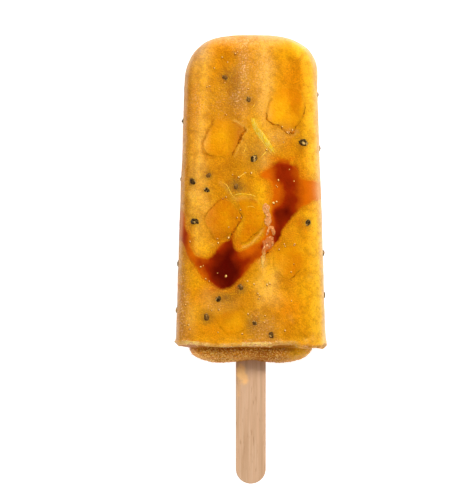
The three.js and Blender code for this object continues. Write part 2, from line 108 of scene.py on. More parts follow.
# The puree's outline on the front and the back. Both run on past the sides, where they meet.
FRONT_PUREE = [
    (3, 28.3), (6.1, 30.5), (8.7, 31.4), (11.3, 32.1), (14.5, 30.8), (15.9, 29.1), (16.5, 27.4),
    (18.2, 26.5), (20.8, 26.2), (27, 26), (27, 19.6), (21.2, 19.4), (18.8, 17.9), (16.8, 17.1),
    (15.3, 15.3), (13.3, 13), (11.6, 11), (10.2, 9.3), (9.3, 7.3), (8.1, 5.3), (6.4, 2.6), (4.1, 0.6),
    (1.9, -0.5), (0.2, -2.2), (-1.2, -4.2), (-2.7, -5.9), (-4.7, -7.9), (-6.4, -9.4), (-8.4, -10.1),
    (-10.7, -9.9), (-12.4, -8.8), (-14.2, -7.6), (-16.2, -6.2), (-17.6, -4.2), (-19, -1.9), (-20.8, 0.2),
    (-22.6, 4.4), (-27, 5.4), (-27, 12.8), (-22.8, 15.4), (-21.4, 11), (-20.3, 8.2), (-19.9, 4.7),
    (-18.5, 1.8), (-16.4, 0.8), (-14.2, 0.5), (-12.4, 1.8), (-11, 4.1), (-9, 5.9), (-7.3, 6.6),
    (-6.1, 9.2), (-5.5, 8.9), (-5.8, 6.4), (-5.3, 3.8), (-3.5, 2.8), (-0.9, 3.8), (1.2, 5), (3.1, 6.4),
    (4.2, 8), (4.8, 10.4), (5.4, 12.4), (6.4, 14.6), (6.2, 18.5), (6.6, 21.6), (6, 25), (4, 26.6),
]
BACK_PUREE = [
    (27, 26.4), (19.2, 27.2), (13.6, 27.6), (6.2, 21), (-1.6, 13.6), (-9.4, 14), (-17.6, 10.4),
    (-27, 12.8), (-27, 5.4), (-18.4, 4.6), (-10.2, 3), (-1, 7.6), (8, 12.6), (15.4, 17.4), (19.6, 21.6),
    (27, 19.6),
]

# The mango's cut edges, where the ice has drawn back from it: lines with the radius in the middle.
CUT_EDGES = [
    (0.12, [(-5.4, 45.3), (-4.6, 44.8), (-3.3, 43.7), (-2.6, 43.3), (-1.8, 42.8)]),
    (0.46, [
        (-2, 43.1), (-1.9, 42.5), (-2.6, 41.9), (-2.9, 41.3), (-3.4, 40.8), (-3.2, 40.1), (-3.9, 39.2),
        (-4.2, 38.2),
    ]),
    (0.16, [(-4.1, 38.9), (-4.8, 37.3), (-5.7, 35.7), (-6.2, 34.3)]),
    (0.16, [(5.5, 50), (5.2, 47.6), (5.5, 46.2)]),
    (0.24, [
        (5.2, 47.8), (5.3, 46.4), (6.6, 45.4), (7.9, 44.7), (8.8, 44.6), (9.8, 44.1), (10.4, 43.2),
        (11, 42.9),
    ]),
    (0.26, [
        (11, 42.9), (11.6, 42.1), (12.4, 41.8), (13.2, 42.2), (14.1, 41.9), (14.5, 43), (14.9, 44),
        (16, 45.1),
    ]),
    (0.15, [(16, 45.1), (17.4, 47.3), (17.9, 49.6), (18.2, 52)]),
    (0.15, [(-10.1, 19.9), (-12, 18.1), (-13.7, 16.3), (-15.4, 13.9)]),
    (0.18, [(-5.8, 8.9), (-4.8, 10.6), (-3.7, 12.5), (-2.9, 14.2), (-4, 16.2)]),
    (0.24, [(-5, 10.4), (-5.6, 9.2), (-6.6, 7.6), (-7, 6.4)]),
    (0.16, [(16.6, -3.4), (15.3, -4.6), (14, -6), (12.4, -6.8)]),
    (0.15, [(-0.9, 6.2), (0.4, 7.8), (2.1, 8.9), (4, 10.6)]),
    (0.15, [(4.6, 1.2), (5.4, 2.3), (7, 2.8)]),
]
# The big fibre, as in the solids, the strands along it (aside, along, radius), and thin fibres with
# the radius in the middle.
BIG_FIBRE = [(0.6, 47), (1.4, 44.4), (3, 41.4), (5.2, 38.6), (7.8, 35.2)]
STRANDS = [(-0.75, 0.3, 0.16), (-0.35, -0.4, 0.2), (0.05, 0.5, 0.17), (0.45, -0.1, 0.2), (0.8, 0.4, 0.14)]
THIN_FIBRES = [
    (0.13, [(1.3, 51.8), (0.9, 50.8), (0.2, 50.1)]),
    (0.15, [(-10.1, 25.9), (-8.2, 24.8), (-7.3, 23.4), (-6.2, 21.3), (-5.1, 20.5)]),
    (0.17, [(-5.7, 21.2), (-3.8, 21.7), (-1.8, 21.6), (0.4, 21.3), (1.8, 20.6)]),
    (0.12, [(-4.4, 26.4), (-2.9, 28), (-1.2, 28.9)]),
    (0.12, [(3.2, 33.6), (4.6, 35.2), (5.4, 36.2)]),
    (0.11, [(-2.4, 35.4), (-1.4, 37.6)]),
    (0.12, [(-1.6, 17.2), (0.2, 17.6), (1.8, 16.8)]),
]
# The strip beside the puree along the flute's wall, where a soft pink reflection is painted, with frost and
# pits on it, in three wavy lumps.
REFLECTION_LUMPS = [
    [
        (4.2, 18.2), (5.4, 18.6), (6.2, 17.4), (6.1, 15.9), (6.9, 14.6), (7, 12.9), (6.4, 11.6), (5.6, 11),
        (4.7, 11.8), (4.3, 13), (4.6, 14.4), (4.2, 15.6), (4, 17),
    ],
    [
        (6.3, 11.1), (7.4, 10.9), (7.8, 9.6), (8, 8.2), (7.3, 7.9), (6.9, 9), (6.3, 9.5), (6.2, 8.5),
        (5.2, 7.6), (4.6, 8.4), (5.4, 9.3), (5.9, 10.2),
    ],
    [
        (5.6, 7.4), (6.9, 7.9), (7.7, 6.6), (7.8, 4.9), (6.9, 3.6), (5.4, 3.1), (4.7, 1.6), (4.3, -1),
        (4, -2.8), (3.6, -1), (3.6, 1.4), (4, 3.4), (4, 5.6),
    ],
]

# Seeds: x, y, share of full size, how far they are veiled by the ice over them.
FRONT_SEEDS = [
    (-18.6, 12.5, 1.1, 0), (17.5, 38.8, 1.1, 0), (1, 33.4, 1.05, 0.05), (18.8, 12.1, 1, 0.05),
    (-19.2, 25.7, 1, 0.1), (-14.7, -19.2, 1, 0.55), (-10.9, -13.3, 0.9, 0), (1.3, -21.2, 0.85, 0.35),
    (-14.8, 23.1, 0.9, 0), (6.8, -25.2, 0.85, 0.3), (-3.4, -9.2, 0.85, 0.6), (-0.8, 53.2, 0.8, 0.45),
    (-8.6, 60.4, 0.85, 0.6), (-14.1, 27.8, 0.75, 0.7), (-4.9, 24.2, 0.75, 0.8),
]
LEFT_SEEDS = [(-1.4, 0.66, 1), (26.6, 0.62, 0.8), (46, 0.4, 0.9), (-17, 0.36, 0.9)]
RIGHT_SEEDS = [(2, 0.64, 1), (37, 0.4, 0.9), (-12, 0.36, 0.9), (55, 0.55, 0.8)]
BACK_SEEDS = {"per_flute": 6, "first": -10, "last": 60, "stray_y": 3, "stray_x": 2.6, "size": 0.85, "seed": 7}
BACK_FLUTE_X = 10
LEAST_CLEARANCE = 1.6
SEED_SUNK = 0.3
UNDER_ICE = 0.1  # how far the seeds of the back and the sides are veiled
RANDOM = {"factor": 16807, "span": 2147483647}  # the source of chance for the seeds, as in the solids

# Beads on the front: x, y, radius, and the share of each that is painted paler as a highlight.
BEADS = [
    (9.1, 26.2, 0.42, 0.5), (14.3, 25.9, 0.36, 0.7), (8.3, 24.5, 0.34, 0.3), (8.7, 24, 0.3, 0.3),
    (7.6, 18.6, 0.5, 0.9), (8.5, 19.1, 0.42, 0.8), (-16.7, -2.6, 0.5, 0.4), (-15.9, -2.2, 0.34, 0.1),
    (-8.3, -5.6, 0.48, 0.8), (-7.5, 7.2, 0.44, 0.9), (-11.1, 6.8, 0.38, 0.6), (-10.9, 5.4, 0.42, 0.8),
    (-8.3, 20.7, 0.38, 0.5), (-9.3, 20.1, 0.36, 0.2), (-3.4, 16.4, 0.4, 0.4), (-4.6, 13.8, 0.4, 0.3),
    (-3.3, 13.8, 0.36, 0.3), (-7.3, 10.6, 0.3, 0.6), (-20.2, 5.8, 0.36, 0.5), (-15, -6.6, 0.4, 0.5),
    (-13.9, -7.3, 0.34, 0.4), (-1.1, -7.3, 0.38, 0.9), (1.1, -8.3, 0.38, 0.9), (-3.9, -9.3, 0.6, 0.8),
    (5.4, -8.5, 0.5, 0.8), (6.3, -8.1, 0.36, 0.8), (13.4, -4.3, 0.38, 0.6), (5.2, 36.3, 0.42, 0.6),
    (0.1, 28.6, 0.44, 0.7), (-2, 28.8, 0.36, 0.5), (-4, 27.2, 0.4, 0.6), (-6.1, 28.1, 0.3, 0.4),
    (10.4, 44, 0.4, 0.5), (12.1, 42.1, 0.42, 0.7), (13.8, 42.9, 0.38, 0.7), (12.5, 41.8, 0.34, 0.6),
    (2.3, -11.4, 0.38, 0.7), (2.6, -13.1, 0.42, 0.6), (2.9, -12.2, 0.32, 0.6), (11.4, 4.2, 0.34, 0.6),
    (9.4, 3.2, 0.4, 0.6), (14.6, 5, 0.36, 0.6), (-0.9, 56.6, 0.36, 0.6), (-8.7, 58.7, 0.36, 0.6),
    (-7.8, 65.5, 0.4, 0.6), (-5.1, 68.3, 0.46, 0.5), (-4.4, 68.9, 0.36, 0.5), (-9.5, 67.1, 0.34, 0.6),
    (-12.2, 63.5, 0.34, 0.5), (-13.7, 57.5, 0.38, 0.6), (-14.6, 57.2, 0.32, 0.5), (-8.2, 48, 0.36, 0.4),
    (-10.6, -16.8, 0.42, 0.7), (-13.1, -17, 0.36, 0.5), (-0.9, -18.2, 0.42, 0.9), (4.7, -18.8, 0.36, 0.7),
    (4.5, -21, 0.36, 0.7), (-2.8, -24.8, 0.46, 0.6), (-15.1, -18.5, 0.42, 0.9), (6.4, -25.6, 0.36, 0.8),
    (-10.9, -24.3, 0.34, 0.6), (1, -27.7, 0.36, 0.6), (13.5, -13.9, 0.36, 0.6), (11.3, -23.7, 0.42, 0.8),
    (-21.6, -15.2, 0.4, 0.7), (-20.7, -21.8, 0.42, 0.7), (-20.3, -23.2, 0.4, 0.7),
    (-11.1, -4.6, 0.26, 0.5), (10.9, 38.9, 0.34, 0.6), (14.4, 4.6, 0.3, 0.5), (11.1, 5, 0.34, 0.6),
    (14.3, -1.6, 0.3, 0.4), (12.8, 29.8, 0.28, 0.5),
]

# The way towards the key lamp: the side of each bead where a highlight is painted.
GLINT_WAY = np.array([0.3, 0.4, 0.866])  # where the beads are brightest
# Beads of the hidden side: how many, from what radius to what, how much painted highlight, and how far they
# keep off edges.
BACK_BEADS = {"count": 110, "radius": (0.12, 0.34), "pale": (0.2, 0.8), "above_rim": 2, "tilt": 0.8}
ABOVE_FLOOR = 0.4  # the least height of beads and crystals

# Crystals of frost: the chance of one at a point of the skin by its marks, where there are none, their
# size and the share of it at each corner, how much larger they are on the rim, and how far they stray.
CRYSTAL_CHANCE = {"frost": 0.06, "ledge": 0.3, "foot": 0.16}
CRYSTAL_LIMITS = {"mango": 0.2, "tilt": 0.9, "above_rim": 6}
CRYSTAL_SIZE = {"whole": (0.07, 0.18), "corner": (0.5, 1.2), "rim_growth": 1.2}
CRYSTAL_PLACE = {"lift": 0.04, "stray": 0.16, "flat": (1, 1, 0.1)}
CRYSTAL_CORNERS = np.array([(1, 0, 0), (0, 1, 0), (-1, 0, 0), (0, -1, 0), (0, 0, 1), (0, 0, -1)], float)
CRYSTAL_SIDES = np.array(
    [(0, 1, 4), (1, 2, 4), (2, 3, 4), (3, 0, 4), (1, 0, 5), (2, 1, 5), (3, 2, 5), (0, 3, 5)]
)

# ---- The surface, the pieces cut from it and the studio ----

# Lumps of the surface and of the edges between the fruit: height, size and seed of each layer.
RELIEF = [(0.5, 7, 11), (0.3, 3, 12), (0.16, 1.2, 13)]
FOOT_RELIEF = [(0.5, 1.6, 14), (0.35, 0.8, 15)]
EDGE_WOBBLE = [(0.16, 2.3, 3), (0.14, 0.9, 4)]
SIDE_WOBBLE = [(1.6, 6, 6), (0.8, 2.4, 7)]
LEDGE_LUMPS = [(0.8, 4, 41), (0.7, 1.1, 42)]
# Drifts on the hidden side: share along Y, size, size of the finer lumps, seed, where they start and end.
DRIFTS = {
    "cloudy": (0.6, 6, 2, 31, 0, 0.9),
    "deep": (0.7, 8, 2.4, 33, 0, 0.8),
    "murky": (0.5, 9, 2.2, 35, 0.1, 0.9),
}

# The hollows in the ice: how far inside a piece's edge they start and are deepest.
HOLLOW = {"start": 0.8, "end": 1.6, "puree_end": 2.4, "puree_depth": 1.6}
# How a piece is cut from the skin: how far past its edge, how its edge dives, and how its back is rounded.
PATCH = {"reach": 0.35, "dive": 0.02, "edge": (-0.3, 0.4), "skirt": 0.3, "round": 2.2}
PUREE = {"gap": 0.3, "depth": 1.2, "deepens": 0.3, "deepest": 8}
# The strip of painted reflection: how far it stands out of the ice and how deep it reaches.
REFLECTION_STRIP_FORM = {"lift": 0.16, "depth": 0.8}
WOOD_RELIEF = {"height": 0.04, "along": 0.12, "size": 1.5}
STICK_STAINS = [(-3.4, -37, 1.6, 2.6, 1, 10), (-2, -40, 1.6, 2.4, 0.7, -10), (-4, -44, 1, 4, 0.4)]

# Each lamp's place, side and colour, and the camera, in metres. Its lens and sensor are in millimetres.
LAMPS = {
    "key": ((0.24, 0.34, 0.44), 0.14, (1, 0.98, 0.95)),
    "fill": ((-0.42, 0.1, 0.4), 0.4, (0.97, 0.98, 1)),
    "top": ((0.05, 0.62, 0.36), 0.5, (1, 1, 1)),
    "foot": ((0.05, -0.6, 0.22), 0.3, (1, 0.98, 0.95)),
}
CAMERA = {"lens": 600, "sensor": 36, "framed": 0.164, "along": 0.0044, "aside": -0.0066}
FLOOR_REACH = 600
# How dark the floor's paint is under its own light, and between its specks.
FLOOR_SHARES = (0.5, 0.48)

# ---- The marks that tint the surface ----

# Soft oval patches of each mark on the front: x, y, half width, half length, strength and, for some,
# lean in degrees. Thin is juice of the puree in the ice, and crisp is where a piece's edge is sharp.
# Glow is partly painted light coming through the ice, strongest along the right edge and on the plug's
# right; the milky patches along the flutes' walls are painted highlights, and shade is painted shade.
PATCHES = {
    "amber": [
        (-8, 69.5, 4.6, 3.4, 0.85), (-9.5, 63, 3.2, 4.4, 0.55), (14.2, 60, 3.4, 7.5, 0.9, 6),
        (11.6, 67, 4.5, 3.2, 0.35), (-19, 52, 2.4, 9, 0.45), (-8.4, 31.5, 4.4, 3.4, 0.5),
        (12.2, 36.2, 3, 5, 0.45), (-19.6, 40, 1.8, 8, 0.3), (18, 32, 3, 5, 0.35),
        (13.4, -17, 6, 6, 0.75, 20), (17, -2, 3, 9, 0.65), (-12, -23.5, 9, 3.6, 0.6),
        (-18, -9.5, 3.4, 4.6, 0.45), (-16.5, -13, 4, 3.6, 0.4), (-2, -13.5, 4, 2.4, 0.4),
        (17, 8.5, 4, 5, 0.45), (2.8, 24, 3, 3, 0.4), (-10, 27.6, 7, 3, 0.35),
    ],
    "glow": [
        (3.2, 23.6, 2.3, 3.4, 0.75), (1.6, 20.6, 3.4, 1.4, 0.4), (2, 43.6, 1.4, 3.4, 0.75, -38),
        (5.6, 39.4, 1.4, 3.4, 0.75, -42), (19.4, 56, 1.8, 12, 0.8), (20.4, 38, 2, 8, 0.6),
        (21.6, 10, 2, 8, 0.75), (21.8, -16, 2, 12, 0.75), (-16, 58, 1.6, 12, 0.5),
        (-17.6, 18.6, 2.6, 3, 0.4), (-16.2, 4.8, 3, 3.8, 0.75, 20), (5.4, -6, 1.8, 7, 0.55, 24),
        (8.6, 50, 2.2, 5, 0.5), (15, 9.6, 4, 4, 0.3), (-6, -20.8, 3.4, 2.4, 0.45, 10),
        (19, 15.6, 2.4, 2.4, 0.6), (15.6, 69, 3, 2, 0.6, -30), (4, 20.6, 2.2, 5, 0.3),
        (16.4, -31.4, 4.4, 2.4, 1), (2.8, 43, 2.2, 3, 0.4, -38), (19.6, -2, 2.4, 16, 0.35),
        (10, 68.4, 4, 2.6, 0.45), (18, 43.4, 1.8, 4, 0.5), (14, 46, 2, 2, 0.4), (18, -10, 2.6, 6, 0.55),
        (17.4, 3.4, 2, 2.6, 0.4), (18, -20, 2.6, 4, 0.3), (-18, -8, 2.4, 3, 0.4), (-15, 7, 2, 3, 0.2),
        (-9.4, 41.4, 2.6, 3.4, 0.4, 20), (10.4, 50.4, 3, 4.4, 0.45), (-5, -20.6, 3, 2, 0.3),
    ],
    "cloud": [
        (4.8, 62, 2.6, 13, 0.85), (-15.6, 60, 1.7, 14, 0.5), (2, 73, 14, 2, 0.75),
        (-2.4, 60, 2.4, 10, 0.6), (9, 40.2, 3.2, 3.6, 0.5, 30), (-1.8, 42, 2.2, 6, 0.12),
        (-17.2, 36, 1.6, 12, 0.3), (-18, 54, 2.2, 13, 0.35), (-16.6, 40, 2.2, 8, 0.5),
        (-17, 29, 2.8, 5, 0.7), (-16.4, 19, 2.8, 5, 0.65), (-19.8, 32, 1.8, 22, 0.2),
        (4, 40, 2.4, 7, 0.35, -10), (4.8, -7.2, 2.4, 5, 0.5, 20), (-16, 68.4, 2.4, 2.4, 0.6, -40),
        (5.4, -9.6, 2.4, 6.5, 0.8, 24), (-17, 7.4, 3, 5, 0.35, 20), (-2, 36, 3, 3, 0.2),
        (-13, -12.6, 4, 2.2, 0.5, -30), (-8, -15, 4.6, 2, 0.45, -20), (19.5, -5.9, 1.1, 1, 0.8),
        (13.5, -19.5, 0.8, 1.4, 0.7, -20), (20.8, -26, 1, 1.4, 0.8), (18, -27.3, 1, 0.8, 0.7),
        (21.6, 44, 1.4, 16, 0.5), (-1.5, 22.6, 3, 1.6, 0.1), (4, 31.6, 2.4, 1.8, 0.6),
        (-19, 20, 1.6, 6, 0.35), (4, 52, 2.2, 6, 0.45), (4.2, 34.2, 2.4, 2.4, 0.65),
        (-17.2, 20, 2.2, 3, 0.4), (-16.4, 6.4, 2.4, 3, 0.5, 20), (4, -8, 1.8, 3.6, 0.5, 20),
        (8, -13.4, 3, 2.6, 0.6, 30), (-14.2, -12, 3, 2, 0.55, -20), (-20, -21, 1.8, 5, 0.5),
        (-16, 65.6, 2, 5, 0.45), (5.6, -22, 2, 1.4, 0.25),
    ],
    "smoke": [
        (-6.4, 60.6, 2.6, 2.6, 0.45), (-4.8, 56, 3, 5.5, 0.5), (-3.6, 53, 2.6, 2.2, 0.5),
        (-5.2, 24.4, 2.4, 2, 0.85), (-3, 24.6, 2, 1.6, 0.4), (-14.2, 27.8, 1.6, 1.2, 0.55),
        (2.8, 36, 2.6, 2, 0.4, -30), (-7.6, -12.5, 1.8, 1.2, 0.6), (-3.4, -10.2, 2, 1.4, 0.55),
        (4.6, -22.6, 4.6, 3, 0.45, -30), (2, -19.6, 2.4, 2, 0.4, -40), (-14.6, -19.4, 1.6, 1.6, 0.5),
        (6.4, -25.2, 2, 1.6, 0.4), (-16.6, 30, 1.6, 1.4, 0.25), (-0.4, 36, 6, 4, 0.2),
        (-9.6, 30, 5, 3, 0.15), (-22.8, -10, 1, 14, 0.2), (1.6, 30.6, 3, 2, 0.25),
        (-8, -13, 3, 1.8, 0.55, -10), (0, -22, 2, 2.4, 0.35), (-4, 57, 2, 3, 0.2),
    ],
    "shade": [
        (-4.2, 64, 3, 4, 0.4), (-8, 68.6, 4, 3, 0.45), (-8, 60, 5, 6, 0.35), (-4.6, 56, 4, 6, 0.4),
        (-7, 51.6, 5, 3.4, 0.6), (-12.4, 54, 2.4, 8, 0.35), (0, 54, 3, 8, 0.3), (-3, 44, 3, 4, 0.35),
        (0.4, 44.6, 1.8, 2.4, 0.4), (12, 42, 4, 2.6, 0.45), (12, 37, 4, 3.4, 0.3), (-6, 31.4, 5, 2.6, 0.5),
        (-1, 31.6, 4, 3, 0.4), (-8, 28, 4, 3, 0.35), (0, 24, 2.6, 3, 0.5), (-4, 24, 3, 2, 0.35),
        (-8, 20.8, 3, 1.6, 0.6), (0, 20, 3, 2, 0.45), (-12, 7.6, 4, 2.6, 0.5), (-8, 8, 3, 2.4, 0.5),
        (-16, 12, 1.6, 4, 0.25), (-20, 8, 1.4, 3, 0.4), (12, 6, 3, 2, 0.35), (9, 4, 2, 2.4, 0.4),
        (-8, -12.6, 4, 2, 0.75, -10), (-12.4, -11.6, 3, 2, 0.5, -30), (-9, -16, 4, 2.4, 0.5),
        (-3, -11, 3, 2, 0.3), (0.4, -21, 2.2, 4, 0.6, -20), (4, -21.6, 4, 4, 0.35),
        (4.4, -27, 5, 1.2, 0.5), (-4, -15.6, 4, 2, 0.3), (-18, 14, 1.4, 2, 0.2), (-20.6, 52, 1.2, 5, 0.35),
        (16, 43.6, 2, 2, 0.4), (-4, 56, 2.4, 4, 0.35), (14, 0, 3, 3, 0.15), (12.4, -8, 2.6, 2.4, 0.35),
        (-8, -20, 2.6, 2, 0.35), (0, -13, 2.4, 2, 0.35), (14, 62, 2.4, 5, 0.2), (-7, 42, 2, 2.4, 0.2),
    ],
    "thin": [
        (16.2, 12.4, 2.4, 2.2, 0.6), (-4.2, 4.8, 1.8, 2.4, 0.7), (3.8, 4.4, 2, 2, 0.5),
        (8.6, 5, 1.6, 2.4, 0.45), (-11.6, 6.8, 3, 1.8, 0.35), (-20.4, 6, 1.2, 3.4, 0.6),
        (12.6, 8, 2, 1.4, 0.35), (-4.6, -8.8, 2, 1.4, 0.6, 30), (-12, -9.6, 3, 1.2, 0.6, -30),
        (9, 33, 3, 1, 0.5, 20), (13, 33.2, 2.4, 0.8, 0.6, -10), (16.6, 30, 1.6, 1.6, 0.4),
        (6.8, 25, 1.6, 5, 0.35), (-1, 1, 4, 1.6, 0.3, -20), (20, 17.6, 2, 1.6, 0.4), (5, 11, 1.4, 3, 0.3),
        (3.8, 4, 1.8, 1.8, 0.8), (9, 33, 2.6, 1.2, 0.5, 20), (12.4, -7.6, 2.4, 1.6, 0.25, 20),
        (17.6, 27.8, 2.4, 1.2, 0.5),
    ],
    "frost": [
        (-2.6, 64, 2, 13, 0.9), (-1, 73.4, 9, 1.8, 0.8), (-4.6, 52, 2, 4, 0.5), (3.4, 62, 3.4, 12, 0.4),
        (-10, 52, 5, 6, 0.2), (-17.6, 52, 2.4, 9, 0.4), (-22.4, -16, 1.6, 13, 0.75),
        (4.6, -23.4, 4, 4, 0.5, -20), (-12, -15.6, 3, 1.6, 0.35), (8.8, 40.6, 2.4, 2.4, 0.35, 30),
        (13.4, 42.3, 1.8, 0.8, 0.6), (-22.6, 30, 1.2, 30, 0.35), (4, -27.4, 6, 1, 0.6),
        # Near x 21.6, y 23 this frost is partly a painted reflection on the right edge.
        (21.6, 23, 0.9, 4.4, 0.5), (1.4, -18.6, 1.4, 1.6, 0.4),
    ],
    "dark": [
        (-7.6, -2.6, 3.2, 7.6, 1), (-6.6, 4.6, 1.5, 4.2, 0.5, 6), (-10.6, -4, 3.2, 5, 0.8),
        (-13.2, -3.4, 3, 3.2, 0.3), (-4.4, -3.4, 2.4, 4, 0.65, 20), (-17, -0.6, 2.8, 2.2, 0.35),
        (-1, -0.8, 2.6, 2, 0.35, 40), (2, 1.6, 2, 2, 0.3), (12.4, 15, 2.3, 3, 0.85, -35),
        (13.2, 19.2, 2.8, 3, 0.5), (12.6, 25.4, 3.2, 5.4, 0.55), (12.2, 30.4, 3.4, 1.8, 0.35),
        (9.4, 11, 1.8, 3.4, 0.55, 35), (8.8, 7.4, 1.5, 2.8, 0.75, 20), (9.4, 14.8, 2, 3, 0.75),
        (-11, 1, 2.4, 1.2, 0.5), (9.2, 27.6, 2, 2, 0.45), (-8.4, -8.6, 3, 1.6, 0.7),
        (4.4, 4.2, 1.4, 1.6, 0.5), (9, 31, 2.6, 1.6, 0.35, 20), (-8, 2.6, 2.4, 2, 0.25),
        (-8, -4, 3, 4, 0.7), (-21.8, 7.6, 1.6, 5, 0.4),
    ],
    "ripe": [
        (-3.6, 41.5, 1.8, 3.4, 1, 14), (-12, 35, 5, 1.6, 0.5), (14.6, 52, 2.6, 8, 0.85),
        (-9, 47, 4, 1, 0.5), (12, 57, 5, 2.4, 0.6), (-12.6, 13, 3, 6, 0.85), (-5, 15, 2.4, 5, 0.75, 20),
        (-1, 12, 4, 7, 0.55, 20), (-9.4, 19, 3, 3, 0.8), (-9, 8, 3.6, 2.4, 0.7), (15, -3, 3, 4, 0.75),
        (2, 6.6, 2.6, 2.4, 0.8, 30), (-9.6, -18, 3, 3, 0.7), (1.6, 8.6, 3.4, 2.4, 0.8, 30),
        (-8, 33, 3, 2, 0.5), (-7, 42, 2, 3, 0.2), (-9, -20, 3, 2, 0.4), (-9.6, 38, 3, 3.6, 0.25),
        (-12, 44, 2, 2, 0.25), (-13, 12, 2, 5, 0.5),
    ],
    "bruise": [
        (-3.2, 43.6, 2.2, 2.4, 0.9), (-3, 40.4, 1.4, 2.6, 0.9), (-5, 36, 1.6, 3.4, 0.6, 24),
        (-15.4, 38, 1.4, 4, 0.4), (-11.4, 47.4, 3, 1, 0.3), (5, 47.6, 1.6, 3, 0.3),
        (10, 43.2, 3, 1.4, 0.5, -30), (15, 43.6, 2, 1.6, 0.8, 50), (-15, 12, 2, 5, 0.6),
        (-12.6, 18.4, 3, 2, 0.6, 40), (-5, 18, 2.4, 3, 0.6, 30), (-4, 11.6, 1.6, 3, 0.8),
        (-8, 20.4, 2, 1, 0.6), (-9.4, 5.8, 4, 2, 0.55), (15.4, -5.4, 2.2, 1.6, 0.5, 30),
        (-11.4, -18.4, 2, 2.4, 0.4), (-5, -16.6, 3, 1, 0.3),
    ],
    "crisp": [
        (-3.4, 41, 3, 6, 1, 24), (-15, 38, 2, 4, 0.6), (9.6, 44, 6, 4, 0.9), (-9, 13.6, 9, 11, 1),
        (14, -5, 4, 3, 0.6),
    ],
}
# Patches where the puree thins out slowly, and where it spreads past its outline.
SOFT_PUREE = [(6, 23.5, 2.6, 5, 1), (4.6, 17, 1.6, 4, 0.6)]
SPREAD_PUREE = [
    (10.6, 32.8, 4.4, 1.7, 1, -12), (8.8, 7.4, 1.2, 2.4, 0.5, 20), (15.4, 30.6, 1.6, 1.6, 0.6),
]
# Lines on the front: half width, strength, places.
CRACKS = [
    (0.5, 0.4, [(-6.2, 45.5), (-4.6, 44.8), (-3.3, 43.6), (-1.9, 42.8)]),
    (0.6, 0.85, [(-2.2, 43.4), (-1.9, 42.8), (-2.6, 41.9), (-3.3, 40.8), (-3.5, 39.8), (-4.1, 38.7)]),
    (0.4, 0.45, [(-4.1, 38.7), (-4.8, 37.3), (-5.7, 35.7), (-6.2, 34.3), (-6.8, 32.6)]),
    (0.8, 0.55, [
        (-12.6, 46.4), (-13, 44.8), (-14.3, 42.6), (-15.9, 38.7), (-15.7, 36), (-14.3, 34.6), (-12, 33.7),
    ]),
    (0.7, 0.45, [(6.8, 53.4), (5.9, 51.2), (5.2, 47.6), (5.9, 45.7), (7.9, 44.7), (9.8, 44.1)]),
    (0.45, 0.5, [(9.8, 44.1), (11, 42.9), (12.4, 41.8), (14.1, 41.9), (14.9, 43.6), (16, 45.1)]),
    (0.7, 0.4, [(16, 45.1), (17.4, 47.3), (17.9, 49.6), (18.2, 52)]),
    (0.6, 0.7, [(-5, 10.4), (-5.6, 9.2), (-6.6, 7.6), (-7, 6.4)]),
    (0.5, 0.5, [(-3.2, 15.2), (-2.8, 14), (-3.6, 12.6), (-4.8, 10.8)]),
    (0.5, 0.4, [(-10.1, 19.9), (-13.7, 16.3), (-15.4, 13.9), (-15, 11.4), (-13.6, 8.6), (-12, 6.4)]),
    (0.4, 0.4, [(15.3, -4.2), (14.6, -5.3), (13.6, -6.2)]),
    (0.5, 0.5, [(-3.4, 5), (-0.9, 6.2), (0.4, 7.8), (2.1, 8.9), (4, 10.6)]),
    (0.35, 0.5, [(-0.2, 19.9), (0.8, 19.5), (1.7, 18.8)]),
    (0.5, 0.45, [(-21.3, 9.6), (-20.6, 7.4), (-20.2, 5.2)]),
    (0.4, 0.35, [(7.6, 1), (7.7, -3.2), (10, -6), (12.6, -6.9), (15, -5.4)]),
]
# These lines are milky streaks and painted highlights along ridges, beside the first mango piece's crack and
# on the pulp's folds.
PALE_AND_HIGHLIGHT_LINES = [
    (0.35, 0.8, [(-5.6, 46.1), (-3.4, 45), (-1.3, 43.2), (-1.9, 42), (-2.8, 40.6), (-3.1, 39)]),
    (0.35, 0.5, [(-3.4, 38.4), (-4.2, 36.6), (-5.4, 34)]),
    (1.4, 0.7, [(3.9, -0.4), (4.4, -3), (5.4, -7), (7.4, -13)]),
    (1.1, 0.5, [(-17.6, 1.6), (-18.4, 5), (-18.2, 9), (-16.6, 14)]),
    (0.6, 0.5, [(4.2, 46.4), (4.6, 49), (4.4, 53)]),
    (0.7, 0.4, [(-10.1, 25.4), (-8, 24.2), (-6.4, 21.4), (-4.6, 20.2), (-1.6, 20.6), (2, 19.8)]),
    (0.5, 0.5, [(8.6, 42.8), (11, 41.2), (13.4, 40.8), (15.6, 42.6)]),
    (0.5, 0.6, [(-16.2, 9), (-14.8, 6.6), (-12.4, 4.6)]),
    (0.7, 0.45, [(-13, -12), (-10, -13.6), (-6, -14.6)]),
    (0.4, 0.7, [(-2.6, 3.9), (-0.4, 4.9), (1.4, 6.4), (3, 8.2), (4.2, 10)]),
    (0.3, 0.5, [(9, 9.2), (10.6, 11.6), (13.4, 14.2)]),
]

# ---- Plain geometry ----


def lerp(start, end, share):
    return start + (end - start) * share


def smoothstep(value, low, high):
    share = np.clip((value - low) / (high - low), 0, 1)
    return share * share * (3 - 2 * share)


def taper(along, power):
    """How far a superellipse has drawn in, from 1 at its widest to 0 at its tip."""
    return (1 - np.clip(along, 0, 1) ** power) ** (1 / power)


def swell(value, centre, spread):
    return np.exp(-(((value - centre) / spread) ** 2))


# Large numbers that scramble a place and a seed into a height by chance, and the 32 bits that are kept.
SCRAMBLE = {"place": np.array([73856093, 19349663, 83492791]), "seed": 40503, "again": 1274126177}
LOW_BITS = 0xFFFFFFFF


